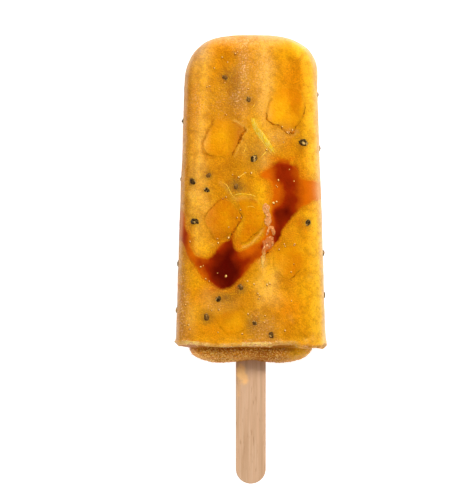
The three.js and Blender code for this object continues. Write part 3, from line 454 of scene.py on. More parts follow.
def lumps(points, size, seed):
    """Smooth noise from -1 to 1 at points in millimetres, in lumps of about a size."""
    cell = points / size
    base = np.floor(cell).astype(np.int64)
    part = cell - base
    part = part * part * (3 - 2 * part)
    total = np.zeros(len(points))
    for corner in itertools.product((0, 1), repeat=3):
        at = base + corner
        mixed = np.bitwise_xor.reduce(at * SCRAMBLE["place"], axis=1) ^ (seed * SCRAMBLE["seed"])
        mixed &= LOW_BITS
        mixed = (mixed ^ (mixed >> 13)) * SCRAMBLE["again"] & LOW_BITS
        mixed ^= mixed >> 16
        weight = np.prod(np.where(corner, part, 1 - part), axis=1)
        total += weight * (mixed / 2**31 - 1)
    return total


def layered_lumps(points, layers):
    return sum(height * lumps(points, size, seed) for height, size, seed in layers)


def strayed(points, reach, size, seeds):
    """Points moved about in x and y, by lumps of a size."""
    moved = points.copy()
    moved[:, :2] += reach * np.stack([lumps(points, size, seed) for seed in seeds], axis=1)
    return moved


def drift(points, along, size, finer, seed, start, end):
    """Soft drifts from 0 to 1."""
    height = lumps(points * (1, along, 1), size, seed) + 0.3 * lumps(points, finer, seed + 1)
    return smoothstep(height, start, end)


def smooth_line(points, steps, closed=False):
    """A Catmull-Rom line through points."""
    points = np.array(points, float)
    if closed:
        padded = np.vstack([points[-1], points, points[:2]])
    else:
        padded = np.vstack([2 * points[0] - points[1], points, 2 * points[-1] - points[-2]])
    share = (np.arange(steps) / steps)[:, None]
    line = []
    for before, start, end, after in zip(padded, padded[1:], padded[2:], padded[3:]):
        turn = (2 * before - 5 * start + 4 * end - after) * share**2
        ease = (3 * start - before - 3 * end + after) * share**3
        line.append(0.5 * (2 * start + (end - before) * share + turn + ease))
    return np.vstack(line if closed else [*line, points[-1:]])


def rounded_outline(corners):
    """An outline with its corners rounded, as in the solids."""
    points = [np.array(corner, float) for corner in corners]
    outline = []
    for before, corner, after in zip(points[-1:] + points[:-1], points, points[1:] + points[:1]):
        ends = []
        for other in (before, after):
            edge = other - corner
            reach = np.linalg.norm(edge)
            cut = min(CHUNK_CORNER["cut"], reach * CHUNK_CORNER["longest"])
            ends.append(corner + edge * cut / reach)
        for share in np.linspace(0, 1, 5):
            outline.append(lerp(lerp(ends[0], corner, share), lerp(corner, ends[1], share), share))
    return np.array(outline)


def near_line(at, line, reach):
    """The numbers of the points that lie within reach of the box round a line."""
    return np.flatnonzero(np.all((at > line.min(0) - reach) & (at < line.max(0) + reach), axis=1))


def apart_from(spots, start, edge):
    """How far points lie from the stretch that an edge runs from its start."""
    offset = spots - start
    share = np.clip(offset @ edge / max(edge @ edge, 1e-12), 0, 1)
    return np.hypot(*(offset - share[:, None] * edge).T)


def inside_by(at, outline, reach=8):
    """How far points lie inside a closed outline, negative outside it and no less than -reach."""
    depth = np.full(len(at), -float(reach))
    near = near_line(at, outline, reach)
    spots = at[near]
    nearest = np.full(len(near), np.inf)
    inside = np.zeros(len(near), bool)
    for start, end in zip(outline, np.roll(outline, -1, axis=0)):
        edge = end - start
        nearest = np.minimum(nearest, apart_from(spots, start, edge))
        if edge[1]:
            crosses = (start[1] > spots[:, 1]) != (end[1] > spots[:, 1])
            inside ^= crosses & (spots[:, 0] < start[0] + (spots[:, 1] - start[1]) / edge[1] * edge[0])
    depth[near] = np.where(inside, nearest, -np.minimum(nearest, reach))
    return depth


def in_strokes(at, strokes):
    """How strongly points lie on soft lines, from 0 to 1."""
    strongest = np.zeros(len(at))
    for half_width, strength, corners in strokes:
        line = smooth_line(corners, 5)
        near = near_line(at, line, 3 * half_width)
        spots = at[near]
        apart = np.min([apart_from(spots, start, end - start) for start, end in zip(line, line[1:])], axis=0)
        strongest[near] = np.maximum(strongest[near], strength * swell(apart, 0, half_width))
    return strongest


def in_patches(at, patches):
    """How strongly points lie in soft oval patches, from 0 to 1."""
    clear = np.ones(len(at))
    for x, y, wide, long, strength, *lean in patches:
        turn = math.radians(sum(lean))
        dx, dy = at[:, 0] - x, at[:, 1] - y
        across = (dx * math.cos(turn) - dy * math.sin(turn)) / wide
        along = (dx * math.sin(turn) + dy * math.cos(turn)) / long
        clear *= 1 - strength * np.exp(-(across**2 + along**2))
    return 1 - clear


# ---- The lolly's form ----


def sizes_of(context):
    group = context.scene.lolly_sizes
    return Sizes(*(getattr(group, name) / MM for name in Sizes._fields))


class Form:
    """The form the mould gave the ice, in millimetres."""

    def __init__(self, sizes):
        self.sizes = sizes
        self.top = sizes.overall_length / 2
        self.rim = self.top - sizes.ice_length
        self.shoulder = self.top - DOME["height"]
        self.crest = self.top - CREST["height"]

    def along_body(self, y):
        return (y - self.rim) / (self.shoulder - self.rim)

    def half_thickness(self, y):
        return lerp(self.sizes.rim_thickness, self.sizes.shoulder_thickness, self.along_body(y)) / 2

    def half_width(self, y):
        share = np.minimum(self.along_body(y), 1)
        straight = lerp(self.sizes.rim_half_width, self.sizes.shoulder_half_width, share)
        return straight * taper((y - self.shoulder) / DOME["height"], DOME["power"])

    def flute_depth(self, y):
        top = 1 - smoothstep(y, self.top - FLUTE_TOP["full"], self.top - FLUTE_TOP["start"])
        foot = smoothstep(y, self.rim + FLUTE_FOOT["start"], self.rim + FLUTE_FOOT["full"])
        return self.sizes.flute_depth * top * foot

    @staticmethod
    def flute_share(fraction):
        wall = FLUTE["wall"]
        fraction = np.abs(fraction)
        opens = smoothstep(fraction, FLUTE["inner"], FLUTE["inner"] + wall)
        return opens * (1 - smoothstep(fraction, FLUTE["outer"] - wall, FLUTE["outer"]))

    def section(self, y):
        """Half width, half thickness, middle height, corner radius and flute depth of the sections at y."""
        crest = taper((y - self.crest) / CREST["height"], CREST["power"])
        half = self.half_thickness(y) * crest
        wide = self.half_width(y)
        radius = np.minimum(self.sizes.edge_radius * crest, LARGEST_EDGE * wide)
        return wide, half, self.half_thickness(y), radius, self.flute_depth(y)

    def front_height(self, x, y):
        wide, half, middle, radius, flute = self.section(np.asarray(y, float))
        flat = wide - radius
        past = np.clip(np.abs(x) - flat, 0, radius)
        return middle + half - (radius - np.sqrt(radius**2 - past**2)) - flute * self.flute_share(x / flat)


def round_steps(front, corner, side, behind, back):
    """The way round a section, a column at a time: place across the flat, way out, place down the side."""
    stretches = [
        (front, (1, -1), (90, 90), (0, 0)),
        (corner, (-1, -1), (90, 180), (0, 0)),
        (side, (-1, -1), (180, 180), (0, 1)),
        (behind, (-1, -1), (180, 270), (1, 1)),
        (back, (-1, 1), (270, 270), (1, 1)),
        (behind, (1, 1), (270, 360), (1, 1)),
        (side, (1, 1), (360, 360), (1, 0)),
        (corner, (1, 1), (0, 90), (0, 0)),
    ]
    columns = [[], [], []]
    for count, *spans in stretches:
        share = np.arange(count) / count
        for column, (start, end) in zip(columns, spans):
            column.append(lerp(start, end, share))
    return [np.concatenate(column) for column in columns]


ICE_ROUND = round_steps(front=132, corner=20, side=16, behind=12, back=56)
STICK_ROUND = round_steps(front=20, corner=4, side=2, behind=4, back=20)


def rings(steps, y, wide, half, middle, radius, flute):
    """Rings of points round sections, a row for each."""
    across, outward, down = steps
    y, wide, half, middle, radius, flute = (
        np.broadcast_to(np.asarray(value, float), np.shape(y))[:, None]
        for value in (y, wide, half, middle, radius, flute)
    )
    turn = np.radians(outward)
    on_face = np.where(outward == 90, 1, np.where(outward == 270, -1, 0)) * Form.flute_share(across)
    x = across * (wide - radius) + radius * np.cos(turn)
    z = middle + lerp(1, -1, down) * (half - radius) + radius * np.sin(turn) - flute * on_face
    return np.stack([x, np.broadcast_to(y, x.shape), z], axis=2)


def rim_rings(form, y, flare, rise, broken):
    """Rings at the rim, each flared outwards, risen off the faces and as ragged as its broken share."""
    points = rings(ICE_ROUND, y, *form.section(y))
    flare, rise, broken = flare[:, None], rise[:, None], broken[:, None]
    x, z = points[..., 0], points[..., 2]
    middle = form.half_thickness(y)[:, None]
    spread = RIM_DRIP["spread"]
    drip = broken * swell(x, RIM_DRIP["x"], spread) * swell(z, RIM_DRIP["z"], spread)
    raised = smoothstep(z, 0, form.sizes.edge_radius)
    grow = (flare + drip * RIM_DRIP["out"]) * raised
    thicken = (rise + drip * RIM_DRIP["out"]) * raised
    ragged = RIM["ragged"] * (np.sin(0.83 * x + 0.6 * z) + np.sin(1.9 * x - 1.1 * z)) / 2
    for side, (start, end, higher) in zip((-1, 1), RIM_ENDS.values()):
        ragged += higher * smoothstep(side * x, start, end)
    along_front = np.interp(x, *np.transpose(RIM_LINE)) - form.rim
    ragged = lerp(ragged, along_front, smoothstep(z - middle, 2, 9))
    points[..., 0] = x * (1 + grow / form.sizes.rim_half_width)
    points[..., 1] += broken * ragged - RIM_DRIP["down"] * drip
    points[..., 2] = middle + (z - middle) * (1 + 2 * thicken / form.sizes.rim_thickness)
    return points


def plug_rings(form):
    turn = np.linspace(0, math.pi / 2, ROWS["plug"] + 1)
    shrink = 1 - np.cos(turn)
    wide = PLUG["half_width"] - PLUG_SHRINK["width"] * shrink
    half = PLUG["half_thickness"] - PLUG_SHRINK["thickness"] * shrink
    y = form.rim - PLUG["height"] * np.sin(turn)
    points = rings(ICE_ROUND, y, wide, half, form.half_thickness(form.rim), half * PLUG["roundness"], 0)
    dimple = swell(points[..., 0], 0, PLUG_DIMPLE["half_width"])
    points[..., 1] += PLUG_DIMPLE["depth"] * np.sin(turn)[:, None] * dimple
    return points


def mould_rings(form):
    """Every ring of the bare form, from the rounded top to the plug's end."""
    share = (np.arange(ROWS["dome"], 0, -1) - TIP_GAP * (np.arange(ROWS["dome"]) == 0)) / ROWS["dome"]
    dome = form.shoulder + DOME["height"] * np.sin(share * math.pi / 2) ** (2 / DOME["power"])
    body = np.linspace(form.shoulder, form.rim + RIM["height"], ROWS["body"] + 1)
    straight = np.concatenate([dome, body])
    top = rings(ICE_ROUND, straight, *form.section(straight))
    top[..., 0] += DOME_LEAN["across"] * smoothstep(top[..., 1], DOME_LEAN["start"], DOME_LEAN["full"])
    share = np.arange(1, ROWS["rim"] + 1) / ROWS["rim"]
    flared, y = RIM["flare"] * share, form.rim + lerp(RIM["height"], RIM["lip"], share)
    flare = rim_rings(form, y, flared, flared, smoothstep(share, 0.5, 1))
    turn = np.arange(1, ROWS["lip"] + 1) / ROWS["lip"] * math.pi / 2
    drawn_in = RIM["flare"] - (RIM["flare"] + RIM["inset"]) * np.sin(turn) ** LIP_POWER["drawn_in"]
    rounded_off = RIM["flare"] - (RIM["flare"] + RIM["inset"]) * (1 - np.cos(turn)) ** LIP_POWER["off"]
    y = form.rim + RIM["lip"] * (1 - np.sin(turn))
    lip = rim_rings(form, y, drawn_in, rounded_off, np.ones(len(turn)))
    plug = plug_rings(form)
    inward = (np.arange(1, ROWS["ledge"]) / ROWS["ledge"])[:, None, None]
    return np.concatenate([top, flare, lip, lerp(lip[-1:], plug[:1], inward), plug])


def outward_of(grid):
    """The way out of a grid of points that closes round each row."""
    around = np.roll(grid, -1, axis=1) - np.roll(grid, 1, axis=1)
    down = np.gradient(grid, axis=0)
    out = np.cross(around, down)
    return out / np.maximum(np.linalg.norm(out, axis=2, keepdims=True), 1e-9)


def random_from(seed):
    """The small repeatable source of numbers from 0 to 1 that the solids use."""
    state = seed
    while True:
        state = state * RANDOM["factor"] % RANDOM["span"]
        yield state / RANDOM["span"]


def seed_places(form):
    """Middle, share of full size, spin, lean and veil of every seed, where the solids have them."""
    random = random_from(BACK_SEEDS["seed"])
    quarter = math.pi / 2
    places = []
    for x, y, size, veil in FRONT_SEEDS:
        z = form.front_height(x, y) - SEED_SUNK * size
        places.append(((x, y, z), size, next(random) * math.pi, 0, veil))
    for side, seeds in ((-1, LEFT_SEEDS), (1, RIGHT_SEEDS)):
        for y, share, size in seeds:
            x = side * (form.half_width(y) - SEED_SUNK * size)
            z = 2 * form.half_thickness(y) * share
            places.append(((x, y, z), size, quarter, quarter, UNDER_ICE))
    keep_out = [np.array(corners, float) for corners in BACK_CHUNKS]
    keep_out.append(np.array([point for point in BACK_PUREE if abs(point[0]) < 20], float))
    for side in (-1, 1):
        for step in range(BACK_SEEDS["per_flute"]):
            share = (step + 0.5) / BACK_SEEDS["per_flute"]
            y = lerp(BACK_SEEDS["first"], BACK_SEEDS["last"], share)
            y += (2 * next(random) - 1) * BACK_SEEDS["stray_y"]
            x = side * (BACK_FLUTE_X + (2 * next(random) - 1) * BACK_SEEDS["stray_x"])
            spin = next(random) * math.pi
            at = np.array([[x, y]]) + LEAST_CLEARANCE * np.array([[0, 0], [1, 0], [-1, 0], [0, 1], [0, -1]])
            if all(np.all(inside_by(at, corners) <= 0) for corners in keep_out):
                z = form.flute_depth(y) + SEED_SUNK
                places.append(((x, y, z), BACK_SEEDS["size"], spin, 0, UNDER_ICE))
    return places


class Skin:
    """The uneven surface of the whole lolly, with how far each point lies in each thing frozen into it."""

    def __init__(self, sizes):
        self.form = Form(sizes)
        bare = mould_rings(self.form)
        self.shape = bare.shape[:2]
        self.out = outward_of(bare)
        flat = bare.reshape(-1, 3)
        self.is_front = flat[:, 2] >= self.form.half_thickness(flat[:, 1])
        self.measure(flat)
        self.points = self.roughened(flat).reshape(bare.shape)
        self.marks = self.painted(flat)

    def measure(self, flat):
        """Distances in millimetres into the puree, the mango pieces, the pulp and the strip of painted
        reflection.
        """
        on_side = smoothstep(np.abs(self.out.reshape(-1, 3)[:, 0]), 0.6, 0.95)
        wobble = layered_lumps(flat, EDGE_WOBBLE) + on_side * layered_lumps(flat, SIDE_WOBBLE)

        def depth(outlines, front=True):
            deepest = np.max([inside_by(flat[:, :2], outline) for outline in outlines], axis=0)
            return np.where(self.is_front == front, deepest + wobble, -8)

        self.puree = np.maximum(
            depth([smooth_line(FRONT_PUREE, 4, True)]), depth([smooth_line(BACK_PUREE, 4, True)], False)
        )
        uneven = 0.45 * lumps(flat, 3.4, 8)
        self.chunks = [depth([rounded_outline(corners)]) for corners in FRONT_CHUNKS]
        self.chunks += [depth([rounded_outline(corners)], False) + uneven for corners in BACK_CHUNKS]
        self.pulp = depth([rounded_outline(PULP)])
        self.salmon = depth([smooth_line(lump, 4, True) for lump in REFLECTION_LUMPS])
        self.salmon = self.salmon - 0.1 + 0.36 * lumps(flat, 0.8, 5)
        self.mango = np.max(self.chunks, axis=0)
        for field in (self.puree, self.mango, self.pulp, self.salmon):
            field[flat[:, 1] <= self.form.rim + RIM["lip"]] = -8

    def relief_at(self, flat):
        """How far the frozen surface lies outside the mould's form."""
        below = smoothstep(self.form.rim + 2.5 - flat[:, 1], 0, 2)
        height = layered_lumps(flat, RELIEF) + below * layered_lumps(flat, FOOT_RELIEF)
        height -= 0.5 * np.clip(lumps(flat, 2, 16) - 0.45, 0, 1)
        return height * self.form.sizes.relief

    def on_front(self, line):
        """Places on the uneven front above x and y."""
        flat = np.column_stack([line, self.form.front_height(line[:, 0], line[:, 1])])
        flat[:, 2] += self.relief_at(flat)
        return flat

    def roughened(self, flat):
        """The form's points moved in and out by the unevenness of frozen fruit."""
        height = self.relief_at(flat)
        out = self.out.reshape(-1, 3)
        height = np.where(height > 0, height * (1 - np.clip(-out[:, 2], 0, 1)), height)
        moved = flat + out * height[:, None]
        moved[:, 2] = np.maximum(moved[:, 2], 0)
        return moved

    def painted(self, flat):
        """The share of each tint at each point, by name."""
        at = strayed(flat, 0.8, 3, (21, 22))[:, :2]
        drawn = strayed(flat, 0.22, 1.1, (23, 24))[:, :2]
        _, half, middle, radius, _ = self.form.section(flat[:, 1])
        past_corner = flat[:, 2] - middle - half + radius + 0.5 * lumps(flat, 4, 45)
        front = smoothstep(past_corner, -7, -2)
        marks = {name: front * in_patches(at, patches) for name, patches in PATCHES.items()}
        marks["cloud"] = np.maximum(marks["cloud"], front * in_strokes(drawn, PALE_AND_HIGHLIGHT_LINES))
        marks["crack"] = front * in_strokes(drawn, CRACKS)
        for name, share in self.hidden(flat, 1 - front, past_corner).items():
            marks[name] += share
        soft = front * in_patches(flat[:, :2], SOFT_PUREE)
        spread = 1.5 * front * in_patches(at, SPREAD_PUREE)
        marks["puree"] = lerp(self.puree, (self.puree - 0.9) * 0.35, soft) + spread
        marks["mango"] = np.maximum(self.mango, self.pulp)
        marks["crack"] = np.maximum(marks["crack"], 0.3 * swell(self.salmon, -0.25, 0.35))
        # Painted shade round each seed, stronger and wider where the ice veils it.
        for place, size, *_, veil in seed_places(self.form):
            apart = np.linalg.norm(flat - place, axis=1)
            shadow = (0.55 + 0.3 * veil) * swell(apart, 0, 1.8 * size + 0.6 * veil)
            marks["smoke"] = 1 - (1 - marks["smoke"]) * (1 - shadow)
        self.mark_rim(marks, flat, front)
        self.mark_edges(marks, flat, past_corner)
        return marks

    def hidden(self, flat, behind, past_corner):
        """The marks of the hidden side, which has no places of its own: drifts between its pieces."""
        cloudy, deep, murky = (drift(flat, *settings) for settings in DRIFTS.values())
        plain = behind * (1 - 0.85 * smoothstep(self.mango, -0.4, 0.6))
        down = 1 - smoothstep(past_corner, -8, 0)
        broken = smoothstep(lumps(flat, 2.4, 46), -0.2, 0.5)
        return {
            "amber": plain * 0.9 * deep,
            "glow": plain * 0.6 * (1 - deep) + behind * 0.4 * smoothstep(self.mango, 0.4, 2),
            "cloud": plain * 0.85 * cloudy,
            "crack": behind * 0.6 * swell(self.mango, 0.1, 0.45) * broken,
            "smoke": plain * 0.45 * murky,
            "frost": behind * 0.4 * cloudy,
            "dark": down * 0.9 * smoothstep(self.puree, 0.4, 2.6),
            "ripe": behind * deep,
            "bruise": behind * 0.5 * cloudy,
            "crisp": behind * 0.8,
        }

    def mark_rim(self, marks, flat, front):
        """Frost on the broken rim, painted brighter as a highlight, grit on the plug and painted shade
        between them.
        """
        x, y, _ = flat.T
        rows, columns = self.shape
        lip_row = ROWS["dome"] + ROWS["body"] + 1 + ROWS["rim"] + ROWS["lip"]
        past_lip = np.repeat(np.arange(rows), columns) - lip_row
        patchy = smoothstep(layered_lumps(flat, LEDGE_LUMPS), -0.5, 0.3)
        # Frost along the rim's edge, painted brighter as a highlight there.
        ledge = smoothstep(past_lip, -10.5, -7) * (1 - smoothstep(past_lip, -1, 0.5)) * (0.25 + 0.75 * patchy)
        ledge *= (1 - 0.6 * front * swell(x, -10, 2.4)) * (0.35 + 0.65 * smoothstep(x, -23, -20))
        foot = smoothstep(self.form.rim + 0.3 - y, 0, 0.8) * (1 - 0.85 * smoothstep(x, 9, 15))
        shade = smoothstep(past_lip, -1.5, 0.5) * (1 - smoothstep(past_lip, 6, 9))
        shade = np.maximum(shade, 0.9 * foot * swell(x, 4.8, 6)) * (1 - 0.9 * smoothstep(x, 11, 16))
        tail = smoothstep(self.form.rim - 2 - y, 0, 3) * 0.8
        marks["foot"], marks["under_rim"] = foot, shade
        marks["frost"] = np.clip(marks["frost"] + ledge + tail, 0, 1)
        marks["ledge"] = ledge * (1 - smoothstep(x, 14, 17))

    def mark_edges(self, marks, flat, past_corner):
        """The turned-away edges: dull, dark painted shade on the left; bright, whitish painted light on the
        right.
        """
        x, y, _ = flat.T
        wide = self.form.half_width(y)
        from_left, from_right, from_top = x + wide, wide - x, self.form.top - y
        left, top = np.maximum(from_left, 0), np.maximum(from_top, 0)
        from_corner = left * top / (left + top + 0.01)
        high = smoothstep(past_corner, -2.4, -0.2)
        no_puree = 1 - 0.45 * smoothstep(self.puree, -0.8, 0.6)
        # Painted shade along the left edge: a band, a darker stripe just in from it and a thin dark line at
        # the very edge, carried round the top-left corner.
        top_left = 0.7 * swell(x, -17.5, 3.4) * swell(y, 69.5, 4)
        thin_line = swell(past_corner, 0, 1.3) * (1 - smoothstep(from_corner, 0.2, 0.95))
        thin_line *= smoothstep(-x, 9, 15)
        soft_line = 0.3 * high * swell(x, -17.4, 2.6) * swell(y, 70.4, 2.6)
        marks["flank"] = no_puree * high * np.maximum(1 - smoothstep(from_left, 0.5, 1.6), top_left)
        marks["flank_shade"] = high * swell(from_left, 1.7, 0.9)
        marks["outline"] = no_puree * np.maximum(thin_line, soft_line)
        in_puree = smoothstep(self.puree, -1.2, 0.4)
        # Painted light along the right edge; the lighter edge tint on the right and the top is frost with
        # painted light, and near x 22.4, y 23 a painted reflection.
        marks["bright_edge"] = high * (1 - smoothstep(from_right, 0, 6)) * (1 - 0.9 * in_puree)
        pale = 0.95 * high * swell(np.maximum(from_right, 0), 0, 1.1)
        pale += 0.75 * high * swell(top, 0, 1.3)
        on_dome = smoothstep(y, self.form.shoulder, self.form.shoulder + 6)
        pale += 0.7 * high * on_dome * swell(from_corner, 0, 1.3)
        pale += 0.55 * high * swell(x, 22.4, 1.5) * swell(y, 23, 4)
        marks["pale_edge"] = no_puree * np.clip(pale, 0, 1) * (1 - marks["foot"])


@functools.lru_cache(maxsize=1)
def skin_from(sizes):
    return Skin(sizes)


def skin_of(context):
    return skin_from(sizes_of(context))


# ---- Meshes ----


def add_mesh(name, points, faces, marks=None, smooth=True):
    """A piece from points in millimetres, with its marks as attributes."""
    mesh = bpy.data.meshes.new(name)
    mesh.from_pydata((np.asarray(points) * MM).tolist(), [], [list(map(int, face)) for face in faces])
    for mark, values in (marks or {}).items():
        mesh.attributes.new(mark, "FLOAT", "POINT").data.foreach_set("value", np.asarray(values, np.float32))
    mesh.polygons.foreach_set("use_smooth", [smooth] * len(mesh.polygons))
    if mesh.validate():
        raise RuntimeError(f"{name} has broken faces")
    piece = bpy.data.objects.new(name, mesh)
    bpy.context.scene.collection.objects.link(piece)
    return piece


def dress(piece, finish, slot, *nodes):
    """Gives a piece its finish and its place in the frame."""
    piece.data.materials.append(finish)
    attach(piece, "root")
    if nodes:
        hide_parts(*nodes)


def grid_faces(rows, columns):
    """Faces between rows of points that close round."""
    row, column = np.meshgrid(np.arange(rows - 1), np.arange(columns), indexing="ij")
    after = (column + 1) % columns
    corners = [(row, column), (row, after), (row + 1, after), (row + 1, column)]
    return np.stack([across * columns + place for across, place in corners], axis=2).reshape(-1, 4)


def closed_faces(rows, columns, first, last, start=0):
    """Faces over rows of points that close round, and from the tips first and last to their ends."""
    faces = (grid_faces(rows, columns) + start).tolist()
    bottom = start + (rows - 1) * columns
    for step in range(columns):
        after = (step + 1) % columns
        faces += [(first, start + after, start + step), (last, bottom + step, bottom + after)]
    return faces


def patch_piece(name, skin, depth, lift, sunk):
    """A closed piece cut from the skin where depth is positive, lifted out of it by lift and reaching
    down by sunk. Its edge dives under the skin, so that where it shows follows the depth and not the grid."""
    rows, columns = skin.shape
    faces = grid_faces(rows, columns)
    chosen = faces[np.all(depth[faces] > -PATCH["reach"], axis=1)]
    used, faces = np.unique(chosen, return_inverse=True)
    faces = faces.reshape(-1, 4)
    points, out = skin.points.reshape(-1, 3)[used], skin.out.reshape(-1, 3)[used]
    inside = depth[used]
    top = points + out * lerp(-PATCH["dive"], lift, smoothstep(inside, *PATCH["edge"]))[:, None]
    rounded = np.sqrt(1 - (1 - np.clip(inside / PATCH["round"], 0, 1)) ** 2)
    under = points - out * (PATCH["skirt"] + sunk[used] * rounded)[:, None]
    if not skin.is_front[used].all():
        top[:, 2] = np.maximum(top[:, 2], 0)
    edges = np.concatenate([faces[:, [k, (k + 1) % 4]] for k in range(4)])
    keys = {tuple(edge) for edge in edges.tolist()}
    count = len(used)
    wall = [(b, a, a + count, b + count) for a, b in keys if (b, a) not in keys]
    marks = {mark: np.concatenate([values[used]] * 2) for mark, values in skin.marks.items()}
    sheets = faces.tolist() + (faces[:, ::-1] + count).tolist()
    return add_mesh(name, np.vstack([top, under]), sheets + wall, marks)


def tube(line, radii, sides, flatness=1.0):
    """Points and faces of a closed tube along a line, drawn in to a point at each end."""
    line = np.asarray(line, float)
    along = np.gradient(line, axis=0)
    along /= np.linalg.norm(along, axis=1, keepdims=True)
    across = np.cross((0, 0, 1), along)
    across /= np.linalg.norm(across, axis=1, keepdims=True)
    up = np.cross(along, across)
    turn = (np.arange(sides) / sides * 2 * math.pi)[None, :, None]
    way = np.cos(turn) * across[1:-1, None] + flatness * np.sin(turn) * up[1:-1, None]
    ring = line[1:-1, None] + np.asarray(radii)[1:-1, None, None] * way
    points = np.vstack([line[:1], ring.reshape(-1, 3), line[-1:]])
    return points, closed_faces(len(line) - 2, sides, 0, len(points) - 1, 1)


def thread(skin, line, radius, sunk, sides, steps, flatness=1.0, uneven=0.2):
    """A tube that lies in the front, thickest in its middle, and is sunk in by a share of its radius."""
    line = skin.on_front(smooth_line(line, steps))
    share = np.linspace(0, 1, len(line))
    radii = radius * np.sin(math.pi * np.clip(share, 0.001, 0.999)) ** 0.6
    radii = radii * (1 + uneven * (0.6 * lumps(line, 0.9, 55) + 0.4 * lumps(line, 0.5, 56)))
    line[:, 2] -= sunk * radii * flatness
    return tube(line, radii, sides, flatness)


def joined(parts):
    """One list of points and faces from several."""
    points, faces, start = [], [], 0
    for part_points, part_faces in parts:
        points.append(part_points)
        faces += [[index + start for index in face] for face in part_faces]
        start += len(part_points)
    return np.vstack(points), faces


@functools.lru_cache(maxsize=4)
def ball(rows, columns):
    """Points and faces of a unit ball."""
    tilt = (np.arange(1, rows) / rows * math.pi)[:, None]
    turn = np.arange(columns) / columns * 2 * math.pi
    ring = [np.sin(tilt) * np.cos(turn), np.sin(tilt) * np.sin(turn), np.cos(tilt) + 0 * turn]
    points = np.vstack([[(0, 0, 1)], np.stack(ring, axis=2).reshape(-1, 3), [(0, 0, -1)]])
    faces = closed_faces(rows - 1, columns, 0, len(points) - 1, 1)
    return points, [face[::-1] for face in faces]


def turned(points, spin, lean=0.0):
    """Points turned about Z and then leant about Y."""
    c, s = math.cos(spin), math.sin(spin)
    points = points @ np.array([[c, s, 0], [-s, c, 0], [0, 0, 1]])
    c, s = math.cos(lean), math.sin(lean)
    return points @ np.array([[c, 0, -s], [0, 1, 0], [s, 0, c]])


def turns(angles):
    """The turn in a plane by each angle."""
    c, s = np.cos(angles), np.sin(angles)
    return np.array([[c, s], [-s, c]]).transpose(2, 0, 1)


# ---- Shader maths ----


class Value:
    """A value on its way to the shader. Arithmetic on it adds Math nodes to its finish."""

    def __init__(self, finish, socket):
        self.finish = finish
        self.socket = socket

    def maths(self, operation, *values, clamp=False):
        settings = {"operation": operation, "use_clamp": clamp}
        return self.finish.node("ShaderNodeMath", settings, dict(enumerate(values)))

    def __add__(self, other):
        return self.maths("ADD", self, other)

    def __sub__(self, other):
        return self.maths("SUBTRACT", self, other)

    def __rsub__(self, other):
        return self.maths("SUBTRACT", other, self)

    def __mul__(self, other):
        return self.maths("MULTIPLY", self, other)

    def __truediv__(self, other):
        return self.maths("DIVIDE", self, other)

    def clamped(self):
        return self.maths("ADD", self, 0, clamp=True)

    def step(self, low, high):
        """0 below low and 1 above high, eased between them."""
        inputs = {"Value": self, "From Min": low, "From Max": high}
        return self.finish.node("ShaderNodeMapRange", {"interpolation_type": "SMOOTHSTEP"}, inputs)

    __radd__ = __add__
    __rmul__ = __mul__


class Finish:
    """A material, or the sky, that is put together from nodes."""

    def __init__(self, owner):
        self.owner = owner
        owner.use_nodes = True
        self.tree = owner.node_tree
        self.tree.nodes.clear()

    @functools.cached_property
    def place(self):
        """The place on the lolly in millimetres."""
        place = self.node("ShaderNodeTexCoord", {}, {}, "Object")
        return self.node("ShaderNodeVectorMath", {"operation": "SCALE"}, {0: place, "Scale": 1 / MM})

    def node(self, kind, settings, inputs, output=0):
        """Adds a node with its settings, then its values and links, and gives one of its outputs."""
        node = self.tree.nodes.new(kind)
        for name, setting in settings.items():
            setattr(node, name, setting)
        for name, value in inputs.items():
            if isinstance(value, Value):
                self.tree.links.new(value.socket, node.inputs[name])
            else:
                node.inputs[name].default_value = value
        return Value(self, node.outputs[output]) if node.outputs else None

    def mark(self, name):
        return self.node("ShaderNodeAttribute", {"attribute_name": name}, {}, "Fac")

    def noise(self, size, detail, stretch=(1, 1, 1)):
        """Noise from 0 to 1 in lumps of about a size in millimetres."""
        place = self.node("ShaderNodeVectorMath", {"operation": "MULTIPLY"}, {0: self.place, 1: stretch})
        return self.node("ShaderNodeTexNoise", {}, {"Vector": place, "Scale": 1 / size, "Detail": detail})

    def cells(self, size):
        """How far the place is from the middle of its cell, in cells of about a size in millimetres."""
        return self.node("ShaderNodeTexVoronoi", {}, {"Vector": self.place, "Scale": 1 / size}, "Distance")

    def mix(self, share, under, over):
        """One colour over another by a share."""
        inputs = {0: share}
        for index, tint in ((6, under), (7, over)):
            inputs[index] = tint if isinstance(tint, Value) else (*tint, 1)
        return self.node("ShaderNodeMix", {"data_type": "RGBA"}, inputs, 2)

    def layered(self, tint, *layers):
        """A colour with others laid over it in turn, each by its share."""
        for share, over in layers:
            tint = self.mix(share, tint, over)
        return tint

    def shaded(self, tint, share):
        """A colour made darker or lighter."""
        return self.node("ShaderNodeVectorMath", {"operation": "SCALE"}, {0: tint, "Scale": share})

    def bump(self, height):
        """The normal over a relief whose height is in millimetres."""
        return self.node("ShaderNodeBump", {}, {"Height": height, "Distance": MM})

    def close(self, **inputs):
        """Puts the surface shader on, with its inputs named by keyword, and gives the material."""
        inputs = {name.replace("_", " "): value for name, value in inputs.items()}
        shader = self.node("ShaderNodeBsdfPrincipled", {}, inputs)
        self.node("ShaderNodeOutputMaterial", {}, {"Surface": shader})
        return self.owner


def new_finish(name):
    return Finish(bpy.data.materials.new(name))


